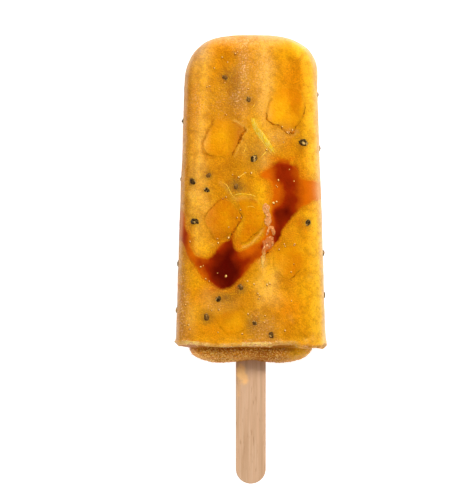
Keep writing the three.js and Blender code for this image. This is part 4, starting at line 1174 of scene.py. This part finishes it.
def fruit_finish(context, name, roughness, flesh=0.0, glare=(1, 0.66, 0.14)):
    """Frozen fruit, tinted by the marks on its mesh: ice, mango and puree run into each other."""
    tints = context.scene.lolly_tints
    finish = new_finish(name)
    mark, noise, layered = finish.mark, finish.noise, finish.layered
    fine, small, coarse, broad, stray = noise(0.5, 3), noise(1, 2), noise(2.6, 3), noise(7, 2), noise(1.3, 2)
    sand, grit, grains = noise(0.38, 1), noise(0.5, 1), finish.cells(0.6).step(0.1, 0.5)
    blotchy, cloudy = 0.5 + coarse * 0.5 + small * 0.5, 0.5 + coarse * 0.6 + small * 0.4

    into_mango = mark("mango") + (stray - 0.5) * 0.5
    mango = (into_mango / (1.7 - mark("crisp") * 1.5) * 0.5 + 0.5).clamped().step(0, 1)
    flesh_tint = layered(
        tints.mango,
        ((mark("ripe") + (coarse - 0.5) * 0.6).clamped(), tints.ripe_mango),
        (noise(1, 4, (1, 0.3, 1)).step(0.5, 0.75) * 0.3, tints.sunny),
        ((1 - into_mango.step(0.2, 2.4)) * mark("bruise") * 0.75, tints.ripe_mango),
    )
    bare = 1 - mark("puree").step(-0.6, 0.8)
    into_puree = mark("puree") + (stray - 0.5) * 0.9
    puree = into_puree.step(-0.6, 0.8)
    depth = (mark("dark") * 1.1 + (coarse - 0.5) * 0.3).clamped()
    juice = layered(
        tints.thin_puree, ((depth * 2).clamped(), tints.puree), ((depth * 2 - 1).clamped(), tints.dark_puree)
    )
    crack = (mark("crack") * (0.45 + stray * 1.1)).clamped()
    seam = finish.mix(mark("crack").step(0.55, 0.95), tints.seam, tints.bruise)
    plug = finish.mix(coarse.step(0.45, 0.6) * 0.6, tints.plug, tints.amber)
    sandy = (1 - mango * 0.6) * bare
    dull = (1 - small.step(0.33, 0.6)) * 0.14 + (1 - coarse.step(0.36, 0.6)) * 0.26
    tint = layered(
        tints.honey,
        ((broad * 0.5 + coarse * 0.5).step(0.4, 0.58), tints.apricot),
        ((coarse * 0.5 + small * 0.5).step(0.48, 0.62) * 0.5, tints.toffee),
        (mango * 0.95, flesh_tint),
        # Milky ice, and painted highlights along the flutes' walls and ridges.
        ((mark("cloud") * (0.5 + fine * 0.5 + small * 0.5)).clamped() * 0.9, tints.cloud),
        ((mark("amber") * blotchy).clamped(), tints.amber),
        # Painted light where it comes through the ice, strongest along the right edge and on the plug's
        # right, and the ice's own yellow.
        ((mark("glow") * cloudy).clamped(), tints.sunny),
        ((mark("shade") * blotchy).clamped() * bare, tints.toffee),
        ((mark("thin") * cloudy).clamped() * bare, tints.thin_puree),
        # Murky ice over the seeds, with painted shade round each seed.
        ((mark("smoke") * (0.4 + fine * 0.8 + small * 0.4)).clamped(), tints.smoke),
        (crack.step(0.12, 0.7) * 0.9, seam),
        (into_puree.step(-2, 0.3) * 0.4, tints.thin_puree),
        (puree, juice),
        (mark("foot") * 0.85, plug),
        # Painted shade on the left edge, and painted light on the right and top edges, where the lighter edge
        # tint is partly frost.
        (mark("flank_shade") * bare * 0.6, tints.toffee),
        (mark("flank") * (0.55 + fine * 0.6), tints.flank),
        (mark("bright_edge") * 0.85, tints.bright_edge),
        ((mark("pale_edge") * (0.7 + fine * 0.6)).clamped(), tints.pale_edge),
        (mark("outline") * 0.95, tints.outline),
        ((mark("frost") * (0.45 + grains * 0.35 + fine * 0.4) * bare).clamped() * 0.8, tints.frost),
        (noise(0.8, 2).step(0.5, 0.64) * mark("frost") * 0.45 * bare, tints.toffee),
        (sand.step(0.5, 0.68) * 0.3 * sandy, tints.sunny),
        ((1 - sand.step(0.32, 0.5)) * 0.28 * sandy, tints.toffee),
        (noise(0.6, 1).step(0.55, 0.66) * mark("frost") * 0.7 * bare, tints.speck),
        (mark("under_rim") * 0.92, tints.under_rim),
        (grit.step(0.54, 0.62) * mark("foot") * (0.85 - mark("under_rim") * 0.4), tints.ledge),
        ((1 - grit.step(0.38, 0.46)) * mark("foot") * 0.7, tints.under_rim),
        (dull * sandy, tints.toffee),
        (small.step(0.52, 0.7) * 0.22 * bare * (1 - mango * 0.7), tints.sunny),
        # Rim frost, painted brighter as a highlight along the rim's edge.
        ((mark("ledge") * (0.4 + fine * 1.4)).clamped() * 0.95, tints.ledge),
    )
    relief = fine * 0.09 + small * 0.14 + noise(0.3, 1) * (0.08 + mark("frost") * 0.12)
    relief = relief + grains * mark("frost") * 0.12 - crack.step(0.5, 1) * 0.2
    return finish.close(
        Base_Color=finish.shaded(tint, 1 + (sand - 0.5) * 0.24 * (1 - mango * 0.6)),
        Roughness=(mark("frost") * 0.25 + fine * 0.15 + roughness).clamped(),
        Normal=finish.bump(relief * (1 - puree * 0.5)),
        IOR=1.33,
        Specular_Tint=(*glare, 1),
        Specular_IOR_Level=0.32,
        Subsurface_Weight=0.35 + flesh,
        Subsurface_Radius=(1.0, 0.45, 0.12),
        Subsurface_Scale=1.1 * MM,
    )


def fibre_finish(context):
    tints = context.scene.lolly_tints
    finish = new_finish("mango_fibre")
    strands = finish.noise(0.45, 3, (1, 0.45, 1))
    return finish.close(
        Base_Color=finish.mix(strands.step(0.38, 0.62), tints.fibre, tints.sunny),
        Roughness=strands * 0.3 + 0.22,
        Normal=finish.bump(strands * 0.15),
        IOR=1.33,
        Specular_Tint=(1, 0.75, 0.3, 1),
        Specular_IOR_Level=0.3,
        Subsurface_Weight=0.4,
        Subsurface_Radius=(1.0, 0.5, 0.15),
        Subsurface_Scale=1.2 * MM,
    )


def cut_edge_finish(context):
    tints = context.scene.lolly_tints
    finish = new_finish("cut_edge")
    grain = finish.noise(0.6, 3)
    return finish.close(
        Base_Color=finish.layered(
            tints.bruise, (grain.step(0.4, 0.55), tints.seam), (grain.step(0.56, 0.66), tints.ripe_mango)
        ),
        Roughness=grain * 0.3 + 0.4,
        Normal=finish.bump(grain * 0.1),
        IOR=1.33,
        Specular_Tint=(1, 0.5, 0.1, 1),
        Specular_IOR_Level=0.2,
    )


def reflection_strip_finish(context):
    tints = context.scene.lolly_tints
    finish = new_finish("frosted_pith")
    fine, clumps = finish.noise(0.5, 3), finish.cells(0.9).step(0.15, 0.5)
    along = finish.node("ShaderNodeSeparateXYZ", {}, {0: finish.place}, "Y")
    # A painted reflection: soft pink high up, darker lower down where it lies thin over the puree, with
    # frost, dark pits and specks, and milky at its lower end.
    tint = finish.layered(
        tints.low_salmon,
        (along.step(5, 12), tints.salmon),
        (finish.noise(1.6, 2).step(0.5, 0.7) * 0.5, tints.frost),
        (clumps * 0.3, tints.seam),
        (finish.noise(0.7, 2).step(0.58, 0.68) * 0.7, tints.speck),
        (1 - along.step(-1.5, 4), tints.cloud),
    )
    return finish.close(
        Base_Color=tint,
        Roughness=fine * 0.25 + 0.3,
        Normal=finish.bump(fine * 0.25 - clumps * 0.3),
        IOR=1.31,
        Specular_Tint=(1, 0.7, 0.4, 1),
        Specular_IOR_Level=0.35,
        Subsurface_Weight=0.3,
        Subsurface_Radius=(1.0, 0.5, 0.3),
        Subsurface_Scale=MM,
    )


def seed_finish(context):
    tints = context.scene.lolly_tints
    finish = new_finish("seed_skin")
    crackle = finish.cells(0.7)
    tint = finish.layered(
        tints.seed,
        (crackle.step(0.35, 0.6) * 0.6, tints.seed_light),
        (finish.mark("gap"), tints.seed_gap),
        ((finish.mark("veil") * (0.6 + finish.noise(0.8, 2) * 0.8)).clamped(), tints.smoke),
    )
    return finish.close(
        Base_Color=tint,
        Roughness=crackle * 0.3 + 0.25,
        Normal=finish.bump(crackle * 0.2),
        IOR=1.42,
        Specular_Tint=(1, 0.6, 0.2, 1),
        Specular_IOR_Level=0.25,
    )


def bead_finish(context):
    tints = context.scene.lolly_tints
    finish = new_finish("frozen_bead")
    fine = finish.noise(0.3, 2)
    return finish.close(
        # A painted highlight on each bead's side towards the key lamp.
        Base_Color=finish.mix((finish.mark("pale") * (0.7 + fine * 0.6)).clamped(), tints.bead, tints.glint),
        Roughness=fine * 0.1 + 0.22,
        Normal=finish.bump(fine * 0.03),
        IOR=1.4,
        Specular_Tint=(1, 0.75, 0.4, 1),
    )


def frost_finish(context):
    tints = context.scene.lolly_tints
    finish = new_finish("frost_crystal")
    fine = finish.noise(0.6, 2)
    return finish.close(
        Base_Color=finish.mix(fine.step(0.35, 0.65), tints.frost, tints.speck),
        Roughness=fine * 0.3 + 0.3,
        Normal=finish.bump(fine * 0.05),
        IOR=1.31,
    )


def wood_finish(context):
    tints = context.scene.lolly_tints
    finish = new_finish("birch_wood")
    noise = finish.noise
    pores = noise(0.34, 2, (1, 0.09, 1)).step(0.6, 0.78)
    streaks = noise(0.5, 3, (1, 0.03, 1))
    stain = (finish.mark("stain") * (0.4 + noise(1.6, 3) * 1.2)).step(0.2, 0.75)
    tint = finish.layered(
        tints.wood,
        (noise(1.5, 3, (1, 0.035, 1)).step(0.35, 0.65), tints.wood_dark),
        (streaks.step(0.4, 0.7) * 0.6, tints.wood_light),
        (pores * 0.6, tints.wood_grain),
        (stain * 0.8, tints.juice_stain),
        # Painted shade on the stick just below the plug.
        (finish.mark("damp") * 0.15, tints.wood_grain),
    )
    return finish.close(
        Base_Color=tint,
        Roughness=(streaks * 0.25 + 0.5) - stain * 0.15,
        Normal=finish.bump(streaks * 0.06 - pores * 0.08),
        IOR=1.45,
    )


# ---- What a user would change ----


def length(name, description, millimetres):
    default = millimetres * MM
    return FloatProperty(
        name=name, description=description, default=default, min=0, precision=5, unit="LENGTH"
    )


def power(name, description, watts):
    return FloatProperty(name=name, description=description, default=watts, min=0, unit="POWER")


def glow(name, description, strength):
    return FloatProperty(name=name, description=description, default=strength, min=0)


def tint(name, description, red, green, blue):
    """A colour given by its screen values from 0 to 255."""
    parts = [value / 255 for value in (red, green, blue)]
    linear = [part / 12.92 if part <= 0.04045 else ((part + 0.055) / 1.055) ** 2.4 for part in parts]
    return FloatVectorProperty(
        name=name, description=description, default=linear, min=0, max=1, subtype="COLOR"
    )


class LollySizes(bpy.types.PropertyGroup):
    """Sizes of the lolly and of what is in it."""

    overall_length: length("Overall length", "Rounded top to the stick's free end", 149.6)
    ice_length: length("Ice length", "Rounded top to the rim", 104.2)
    rim_half_width: length("Half width at the rim", "Half the ice's width at its rim", 25)
    shoulder_half_width: length("Half width at the shoulder", "Half the width below the rounded top", 22.1)
    rim_thickness: length("Thickness at the rim", "The ice's thickness at its rim", 23)
    shoulder_thickness: length("Thickness at the shoulder", "The ice's thickness below the rounded top", 19.6)
    edge_radius: length("Edge radius", "Radius of the long edges", 6)
    flute_depth: length("Flute depth", "Depth of the shallow flutes in both faces", 1)
    relief: length("Relief", "Unevenness of the frozen surface", 0.28)
    stick_length: length("Stick length", "The whole stick, with what is in the ice", 114)
    stick_width: length("Stick width", "Width of the stick", 10)
    stick_thickness: length("Stick thickness", "Thickness of the stick", 2)
    seed_length: length("Seed length", "Longest size of a full seed", 2.7)
    seed_width: length("Seed width", "Middle size of a full seed", 2)
    seed_height: length("Seed height", "Shortest size of a full seed", 1.7)
    chunk_depth: length("Mango depth", "How deep the mango pieces reach into the ice", 7.6)
    proud: length("Proud", "How far the pieces stand out of the ice", 0.03)


Sizes = namedtuple("Sizes", LollySizes.__annotations__)


class LollyTints(bpy.types.PropertyGroup):
    """Colours of the lolly."""

    honey: tint("Honey", "The ice between the fruit", 204, 130, 4)
    apricot: tint("Apricot", "The ice where it is lighter", 236, 164, 18)
    amber: tint("Amber", "The ice where it is clear and deep", 230, 134, 0)
    sunny: tint("Sunny", "The ice where light comes through", 251, 184, 16)
    # Browner ice, also laid on as painted shade in the shade patches and along the left edge.
    toffee: tint("Toffee", "The ice where it is browner", 180, 106, 4)
    # Milky ice, also laid on as painted highlights along the flutes' walls and ridges.
    cloud: tint("Cloud", "The ice where it is milky", 251, 196, 92)
    # Murky ice over the seeds, also laid on as painted shade round them.
    smoke: tint("Smoke", "Ice over seeds", 134, 90, 36)
    frost: tint("Frost", "Frost on the ice", 212, 146, 74)
    speck: tint("Speck", "Ice crystals in the surface", 255, 212, 146)
    # Frost along the rim, also painted brighter as a highlight along its edge.
    ledge: tint("Rim frost", "Frost along the broken rim", 255, 216, 124)
    # Painted shade on the left edges, and painted light on the right and top edges.
    flank: tint("Flank", "The side away from the light", 216, 168, 124)
    outline: tint("Outline", "The very edge away from the light", 88, 74, 60)
    pale_edge: tint("Pale edge", "The frosty edge towards the light", 228, 192, 140)
    bright_edge: tint("Bright edge", "The side towards the light", 255, 201, 60)
    under_rim: tint("Under the rim", "The ice in the shade of the rim", 168, 88, 0)
    plug: tint("Plug", "The ice that swelled out below the rim", 250, 158, 60)
    mango: tint("Mango", "Mango flesh", 230, 150, 0)
    ripe_mango: tint("Ripe mango", "Mango flesh where it is deeper", 208, 112, 0)
    seam: tint("Seam", "Soft seams between the pieces of fruit", 180, 98, 2)
    bruise: tint("Bruise", "Cut edges of the mango", 122, 58, 0)
    fibre: tint("Fibre", "Mango fibres", 255, 206, 86)
    thin_puree: tint("Thin puree", "Puree where it is thin", 208, 98, 0)
    puree: tint("Puree", "Puree", 146, 35, 0)
    dark_puree: tint("Dark puree", "Puree where it is thick", 84, 2, 0)
    # The soft pink of a painted reflection beside the puree, and the same darker where it lies thin over the
    # puree.
    salmon: tint("Salmon", "Frosted pith beside the puree", 238, 160, 92)
    low_salmon: tint("Low salmon", "Frosted pith where it is thin over the puree", 206, 112, 56)
    seed: tint("Seed", "Seed skin", 20, 12, 4)
    seed_light: tint("Seed light", "Lighter cells of the seed skin", 104, 78, 36)
    seed_gap: tint("Seed gap", "Pale gaps in the seed skin", 206, 164, 92)
    bead: tint("Bead", "Frozen beads of juice", 164, 84, 8)
    # The colour of the highlight painted on the beads.
    glint: tint("Glint", "The bright side of the beads", 255, 212, 120)
    wood: tint("Wood", "The stick", 218, 175, 138)
    wood_dark: tint("Dark wood", "Darker growth in the stick", 202, 159, 121)
    wood_light: tint("Light wood", "Lighter growth in the stick", 224, 188, 154)
    wood_grain: tint("Grain", "Pores of the stick", 176, 124, 78)
    juice_stain: tint("Juice stain", "Juice soaked into the stick", 255, 200, 126)
    floor: tint("Floor", "The floor", 250, 250, 250)


class LightLevels(bpy.types.PropertyGroup):
    """How bright the studio is."""

    sky: glow("Sky", "Light from all round", 0.48)
    key: power("Key", "Power of the lamp at the upper right", 2.8)
    fill: power("Fill", "Power of the lamp at the left", 0.8)
    top: power("Top", "Power of the lamp beyond the rounded top", 1.1)
    foot: power("Foot", "Power of the lamp beyond the stick", 0.7)
    floor_glow: glow("Floor glow", "Light given off by the floor", 0.95)


# ---- Operators ----


class IceOperator(bpy.types.Operator):
    """Adds the ice, with a hollow for each thing frozen into it"""

    bl_idname = "lolly.add_ice"
    bl_label = "Add Ice"

    def execute(self, context):
        depth, skin = sizes_of(context).chunk_depth, skin_of(context)
        points = skin.points.reshape(-1, 3).copy()
        inward = np.where(skin.is_front, -1.0, 1.0)
        for inside in (*skin.chunks, skin.pulp):
            points[:, 2] += inward * depth * smoothstep(inside, HOLLOW["start"], HOLLOW["end"])
        clear = np.maximum(skin.mango, skin.pulp) < HOLLOW["start"]
        into_puree = np.where(clear, smoothstep(skin.puree, HOLLOW["start"], HOLLOW["puree_end"]), 0)
        points -= skin.out.reshape(-1, 3) * (HOLLOW["puree_depth"] * into_puree)[:, None]
        rows, columns = skin.shape
        tip = (0, skin.form.top, skin.form.half_thickness(skin.form.top))
        foot = (0, points[-columns:, 1].mean(), skin.form.half_thickness(skin.form.rim))
        ends = [0, (rows - 1) * columns]
        marks = {mark: np.concatenate([values, values[ends]]) for mark, values in skin.marks.items()}
        faces = closed_faces(rows, columns, rows * columns, rows * columns + 1)
        piece = add_mesh("fruit_ice", np.vstack([points, tip, foot]), faces, marks)
        dress(piece, fruit_finish(context, "fruit_ice", 0.35), "ice", "ice")
        return {"FINISHED"}


class MangoOperator(bpy.types.Operator):
    """Adds the mango pieces of both faces and the mango pulp"""

    bl_idname = "lolly.add_mango"
    bl_label = "Add Mango"

    def execute(self, context):
        sizes, skin = sizes_of(context), skin_of(context)
        finish = fruit_finish(context, "mango_flesh", 0.3, 0.1)
        names = [f"mango_front_{number + 1}" for number in range(len(FRONT_CHUNKS))]
        names += [f"mango_back_{number + 1}" for number in range(len(BACK_CHUNKS))]
        sunk = np.full(len(skin.mango), sizes.chunk_depth)
        for name, depth in zip([*names, "mango_pulp"], [*skin.chunks, skin.pulp]):
            piece = patch_piece(name + "_flesh", skin, depth, sizes.proud, sunk)
            dress(piece, finish, "mango", name)
        return {"FINISHED"}


class PureeOperator(bpy.types.Operator):
    """Adds the ribbon of puree that winds round the lolly"""

    bl_idname = "lolly.add_puree"
    bl_label = "Add Puree"

    def execute(self, context):
        sizes, skin = sizes_of(context), skin_of(context)
        depth = np.minimum(skin.puree, -np.maximum(skin.mango, skin.pulp) - PUREE["gap"])
        sunk = PUREE["depth"] + PUREE["deepens"] * np.clip(skin.puree, 0, PUREE["deepest"])
        piece = patch_piece("puree_swirl", skin, depth, sizes.proud, sunk)
        finish = fruit_finish(context, "fruit_puree", 0.42, -0.2, (1, 0.3, 0.08))
        dress(piece, finish, "puree", "puree_ribbon")
        return {"FINISHED"}


class FibresOperator(bpy.types.Operator):
    """Adds the mango fibres"""

    bl_idname = "lolly.add_fibres"
    bl_label = "Add Fibres"

    def execute(self, context):
        skin = skin_of(context)
        way = np.subtract(BIG_FIBRE[-1], BIG_FIBRE[0])
        way = way / np.hypot(*way)
        parts = [thread(skin, BIG_FIBRE, 1.5, sunk=0.84, sides=30, steps=12, flatness=0.42, uneven=0)]
        for aside, along, radius in STRANDS:
            line = np.array(BIG_FIBRE) + (aside * np.array([-way[1], way[0]]) + along * way)
            parts.append(thread(skin, line, radius, sunk=0.3, sides=8, steps=12, flatness=0.7, uneven=0.6))
        points, faces = joined(parts)
        piece = add_mesh("mango_fibre_strand", strayed(points, 0.16, 1.4, (51, 52)), faces)
        finish = fibre_finish(context)
        dress(piece, finish, "mango", "mango_fibre")
        parts = [thread(skin, line, radius, sunk=0.3, sides=8, steps=8) for radius, line in THIN_FIBRES]
        dress(add_mesh("thin_fibres", *joined(parts)), finish, "mango")
        return {"FINISHED"}


class CutEdgesOperator(bpy.types.Operator):
    """Adds the thin broken edges of the mango pieces"""

    bl_idname = "lolly.add_cut_edges"
    bl_label = "Add Cut Edges"

    def execute(self, context):
        skin = skin_of(context)
        parts = []
        for radius, line in CUT_EDGES:
            points, faces = thread(skin, line, radius, sunk=0.2, sides=8, steps=10, flatness=0.35, uneven=1.1)
            parts.append((strayed(points, 0.2, 0.7, (53, 54)), faces))
        dress(add_mesh("mango_cut_edges", *joined(parts)), cut_edge_finish(context), "mango")
        return {"FINISHED"}


class ReflectionStripOperator(bpy.types.Operator):
    """Adds the strip beside the puree that carries a painted reflection, with frost and pits on it"""

    bl_idname = "lolly.add_pith"
    bl_label = "Add Pith"

    def execute(self, context):
        skin = skin_of(context)
        sunk = np.full(len(skin.salmon), REFLECTION_STRIP_FORM["depth"])
        dress(patch_piece("frosted_pith", skin, skin.salmon, REFLECTION_STRIP_FORM["lift"], sunk), reflection_strip_finish(context), "ice")
        return {"FINISHED"}


class SeedsOperator(bpy.types.Operator):
    """Adds the seeds of both faces and both sides"""

    bl_idname = "lolly.add_seeds"
    bl_label = "Add Seeds"

    def execute(self, context):
        sizes = sizes_of(context)
        whole = np.array([sizes.seed_length, sizes.seed_width, sizes.seed_height]) / 2
        unit, faces = ball(20, 28)
        parts, veils, gaps = [], [], []
        for number, (middle, size, spin, lean, veil) in enumerate(seed_places(Form(sizes))):
            elsewhere = 7 * number  # each seed has dents of its own
            rough = lumps(unit * 1.7 + elsewhere, 1, 61)
            dents = 1 + 0.22 * rough + 0.12 * lumps(unit * 4 + elsewhere, 1, 62)
            shape = turned(unit * dents[:, None] * whole * size * 0.95, spin, lean)
            parts.append((shape + np.array(middle), faces))
            veils.append(np.full(len(unit), veil))
            gaps.append(smoothstep(-lumps(unit * 2.1 + elsewhere, 1, 63) - 0.6 * rough, 0.25, 0.5))
        points, faces = joined(parts)
        points[:, 2] = np.maximum(points[:, 2], 0)
        marks = {"veil": np.concatenate(veils), "gap": np.concatenate(gaps)}
        dress(add_mesh("fruit_seeds", points, faces, marks), seed_finish(context), None)
        return {"FINISHED"}


class BeadsOperator(bpy.types.Operator):
    """Adds the frozen beads and bubbles of juice"""

    bl_idname = "lolly.add_beads"
    bl_label = "Add Beads"

    def execute(self, context):
        skin = skin_of(context)
        random = np.random.default_rng(5)
        unit, faces = ball(8, 12)
        parts, pale = [], []

        def bead(middle, radius, glint_share):
            dents = 1 + 0.12 * lumps(unit * 2 + 5 * len(parts), 1, 71)
            stretch = np.array([random.uniform(0.8, 1.1), random.uniform(0.9, 1.4), 0.6])
            shape = turned(unit * dents[:, None] * radius * stretch, random.uniform(-0.9, 0.9))
            parts.append((shape + middle, faces))
            # Painted highlight on the side towards the key lamp, larger on beads with a larger share.
            pale.append(smoothstep(unit @ GLINT_WAY, 0.9 - 0.36 * glint_share, 1.06 - 0.22 * glint_share))

        for x, y, radius, glint_share in BEADS:
            bead(skin.on_front(np.array([[x, y]], float))[0], 0.85 * radius, glint_share)
        points, out = skin.points.reshape(-1, 3), skin.out.reshape(-1, 3)
        above = (points[:, 1] > skin.form.rim + BACK_BEADS["above_rim"]) & (points[:, 2] > ABOVE_FLOOR)
        off_outline = np.hypot(out[:, 0], out[:, 1]) < BACK_BEADS["tilt"]
        spare = np.flatnonzero(above & off_outline & ~skin.is_front)
        for index in random.choice(spare, BACK_BEADS["count"], replace=False):
            bead(points[index], random.uniform(*BACK_BEADS["radius"]), random.uniform(*BACK_BEADS["pale"]))
        piece = add_mesh("frozen_beads", *joined(parts), {"pale": np.concatenate(pale)})
        dress(piece, bead_finish(context), "ice")
        return {"FINISHED"}


class FrostOperator(bpy.types.Operator):
    """Adds the crystals of frost on the ice, its rim and its plug"""

    bl_idname = "lolly.add_frost"
    bl_label = "Add Frost"

    def execute(self, context):
        skin = skin_of(context)
        random = np.random.default_rng(9)
        points, out = skin.points.reshape(-1, 3), skin.out.reshape(-1, 3)
        frost, ledge, foot = (skin.marks[mark] for mark in CRYSTAL_CHANCE)
        of_frost, of_ledge, of_foot = CRYSTAL_CHANCE.values()
        chance = frost**2 * of_frost + ledge * of_ledge + foot * of_foot
        above_rim = points[:, 1] > skin.form.rim + CRYSTAL_LIMITS["above_rim"]
        on_outline = (np.hypot(out[:, 0], out[:, 1]) > CRYSTAL_LIMITS["tilt"]) & above_rim
        chance[(points[:, 2] < ABOVE_FLOOR) | (skin.mango > CRYSTAL_LIMITS["mango"]) | on_outline] = 0
        places = np.flatnonzero(random.random(len(chance)) < chance)
        count = len(places)
        scale = random.uniform(*CRYSTAL_SIZE["corner"], (count, len(CRYSTAL_CORNERS), 1))
        scale *= random.uniform(*CRYSTAL_SIZE["whole"], (count, 1, 1))
        scale *= (1 + CRYSTAL_SIZE["rim_growth"] * np.clip(ledge[places], 0, 1))[:, None, None]
        spin, tilt = random.uniform(0, math.tau, (2, count))
        crystals = CRYSTAL_CORNERS * scale
        crystals[..., :2] = crystals[..., :2] @ turns(spin)
        crystals[..., 1:] = crystals[..., 1:] @ turns(tilt)
        stray = random.normal(0, CRYSTAL_PLACE["stray"], (count, 3)) * CRYSTAL_PLACE["flat"]
        crystals += ((points + out * CRYSTAL_PLACE["lift"])[places] + stray)[:, None]
        starts = len(CRYSTAL_CORNERS) * np.arange(count)[:, None, None]
        faces = (CRYSTAL_SIDES + starts).reshape(-1, 3)
        piece = add_mesh("frost_crystals", crystals.reshape(-1, 3), faces, smooth=False)
        dress(piece, frost_finish(context), "ice")
        return {"FINISHED"}


class StickOperator(bpy.types.Operator):
    """Adds the wooden stick, with half-round ends and eased edges"""

    bl_idname = "lolly.add_stick"
    bl_label = "Add Stick"

    def execute(self, context):
        sizes = sizes_of(context)
        form = Form(sizes)
        reach, radius, half = sizes.stick_length / 2, sizes.stick_width / 2, sizes.stick_thickness / 2
        end = reach - radius + radius * np.cos(np.linspace(0.02, math.pi / 2, 20))
        rows = np.concatenate([end, np.linspace(end[-1], -end[-1], 122)[1:-1], -end[::-1]])
        past = np.clip(np.abs(rows) - (reach - radius), 0, radius)
        wide = np.sqrt(radius**2 - past**2)
        from_end = np.clip(1 - (radius - past) / STICK_BEVEL, 0, 0.98)
        eased = half - STICK_BEVEL * (1 - np.sqrt(1 - from_end**2))
        bevel = np.minimum(STICK_BEVEL, LARGEST_EDGE * np.minimum(wide, eased))
        grid = rings(STICK_ROUND, rows, wide, eased, 0, bevel, 0)
        points = np.vstack([grid.reshape(-1, 3), (0, reach, 0), (0, -reach, 0)])
        faces = closed_faces(*grid.shape[:2], len(points) - 2, len(points) - 1)
        grain = lumps(points * (1, WOOD_RELIEF["along"], 1), WOOD_RELIEF["size"], 81)
        points[:, 2] += WOOD_RELIEF["height"] * grain * (np.abs(points[:, 2]) > half - 0.1)
        centre = -form.top + sizes.stick_length / 2
        rise = form.half_thickness(form.shoulder) - form.half_thickness(form.rim)
        slope = math.atan2(rise, form.shoulder - form.rim)
        y, z = points[:, 1].copy(), points[:, 2].copy()
        points[:, 1] = centre + y * math.cos(slope) - z * math.sin(slope)
        points[:, 2] = form.half_thickness(centre) + y * math.sin(slope) + z * math.cos(slope)
        stain = in_patches(points[:, :2], STICK_STAINS)
        # Painted shade on the stick just below the plug.
        damp = smoothstep(points[:, 1], -37.5, -34)
        piece = add_mesh("wooden_stick", points, faces, {"stain": stain, "damp": damp})
        dress(piece, wood_finish(context), "wood", "stick")
        return {"FINISHED"}


class StageOperator(bpy.types.Operator):
    """Adds the floor, the lamps, the sky and the camera that looks down on the lolly"""

    bl_idname = "lolly.add_stage"
    bl_label = "Add Stage"

    def execute(self, context):
        scene, levels = context.scene, context.scene.lolly_lights
        scene.view_settings.view_transform = "Standard"
        self.add_floor(scene, levels)
        self.add_sky(scene, levels)
        for name, (place, side, colour) in LAMPS.items():
            self.add_lamp(scene, name, place, side, getattr(levels, name), colour)
        self.add_camera(scene, Form(sizes_of(context)))
        return {"FINISHED"}

    def add_floor(self, scene, levels):
        corners = FLOOR_REACH * np.array([(-1, -1, 0), (1, -1, 0), (1, 1, 0), (-1, 1, 0)], float)
        floor = add_mesh("floor", corners, [(0, 1, 2, 3)], smooth=False)
        finish = new_finish("floor_paint")
        tint = scene.lolly_tints.floor
        under, over = (tuple(share * part for part in tint) for share in FLOOR_SHARES)
        paint = finish.close(
            Base_Color=finish.mix(finish.noise(3, 2), under, over),
            Roughness=0.9,
            Emission_Color=(*tint, 1),
            Emission_Strength=levels.floor_glow,
            Specular_IOR_Level=0.1,
        )
        floor.data.materials.append(paint)

    def add_sky(self, scene, levels):
        """Light from all round, dimmer straight above so that it leaves no veil on the dark puree."""
        scene.world = bpy.data.worlds.new("studio")
        sky = Finish(scene.world)
        way = sky.node("ShaderNodeTexCoord", {}, {}, "Generated")
        height = sky.node("ShaderNodeSeparateXYZ", {}, {"Vector": way}, "Z")
        strength = (1 - height.step(0.45, 0.95) * 0.85) * levels.sky
        light = sky.node("ShaderNodeBackground", {}, {"Color": (1, 1, 1, 1), "Strength": strength})
        sky.node("ShaderNodeOutputWorld", {}, {"Surface": light})

    def add_lamp(self, scene, name, place, side, energy, colour):
        """A square lamp that faces the middle of the lolly."""
        lamp = bpy.data.lights.new(name, "AREA")
        lamp.size = side
        lamp.energy = energy
        lamp.color = colour
        holder = bpy.data.objects.new(name, lamp)
        holder.location = place
        holder.rotation_euler = (-Vector(place)).to_track_quat("-Z", "Y").to_euler()
        scene.collection.objects.link(holder)

    def add_camera(self, scene, form):
        """A very long lens straight over the ice, with the lolly right of the middle of the frame."""
        camera = bpy.data.objects.new("camera", bpy.data.cameras.new("camera"))
        camera.data.lens = CAMERA["lens"]
        camera.data.sensor_width = CAMERA["sensor"]
        camera.data.shift_x = CAMERA["aside"] / CAMERA["framed"]
        away = CAMERA["framed"] * CAMERA["lens"] / CAMERA["sensor"]
        height = form.half_thickness(CAMERA["along"] / MM) * MM
        camera.location = (0, CAMERA["along"], height + away)
        scene.collection.objects.link(camera)
        scene.camera = camera


OPERATORS = (
    StageOperator, IceOperator, PureeOperator, MangoOperator, FibresOperator, CutEdgesOperator, ReflectionStripOperator,
    SeedsOperator, BeadsOperator, FrostOperator, StickOperator,
)
GROUPS = {"lolly_sizes": LollySizes, "lolly_tints": LollyTints, "lolly_lights": LightLevels}


class LollyPanel(bpy.types.Panel):
    """Lists the lolly's operators, sizes and colours"""

    bl_idname = "VIEW3D_PT_ice_lolly"
    bl_label = "Ice Lolly"
    bl_space_type = "VIEW_3D"
    bl_region_type = "UI"
    bl_category = "Ice lolly"

    def draw(self, context):
        for operator in OPERATORS:
            self.layout.operator(operator.bl_idname)
        for name, group in GROUPS.items():
            box = self.layout.box()
            for prop in group.__annotations__:
                box.prop(getattr(context.scene, name), prop)


CLASSES = (*GROUPS.values(), *OPERATORS, LollyPanel)


def register():
    for cls in CLASSES:
        bpy.utils.register_class(cls)
    for name, group in GROUPS.items():
        setattr(bpy.types.Scene, name, PointerProperty(type=group))


def unregister():
    for name in GROUPS:
        delattr(bpy.types.Scene, name)
    for cls in reversed(CLASSES):
        bpy.utils.unregister_class(cls)


def main():
    register()
    for operator in OPERATORS:
        group, name = operator.bl_idname.split(".")
        getattr(getattr(bpy.ops, group), name)()


if __name__ == "__main__":
    main()
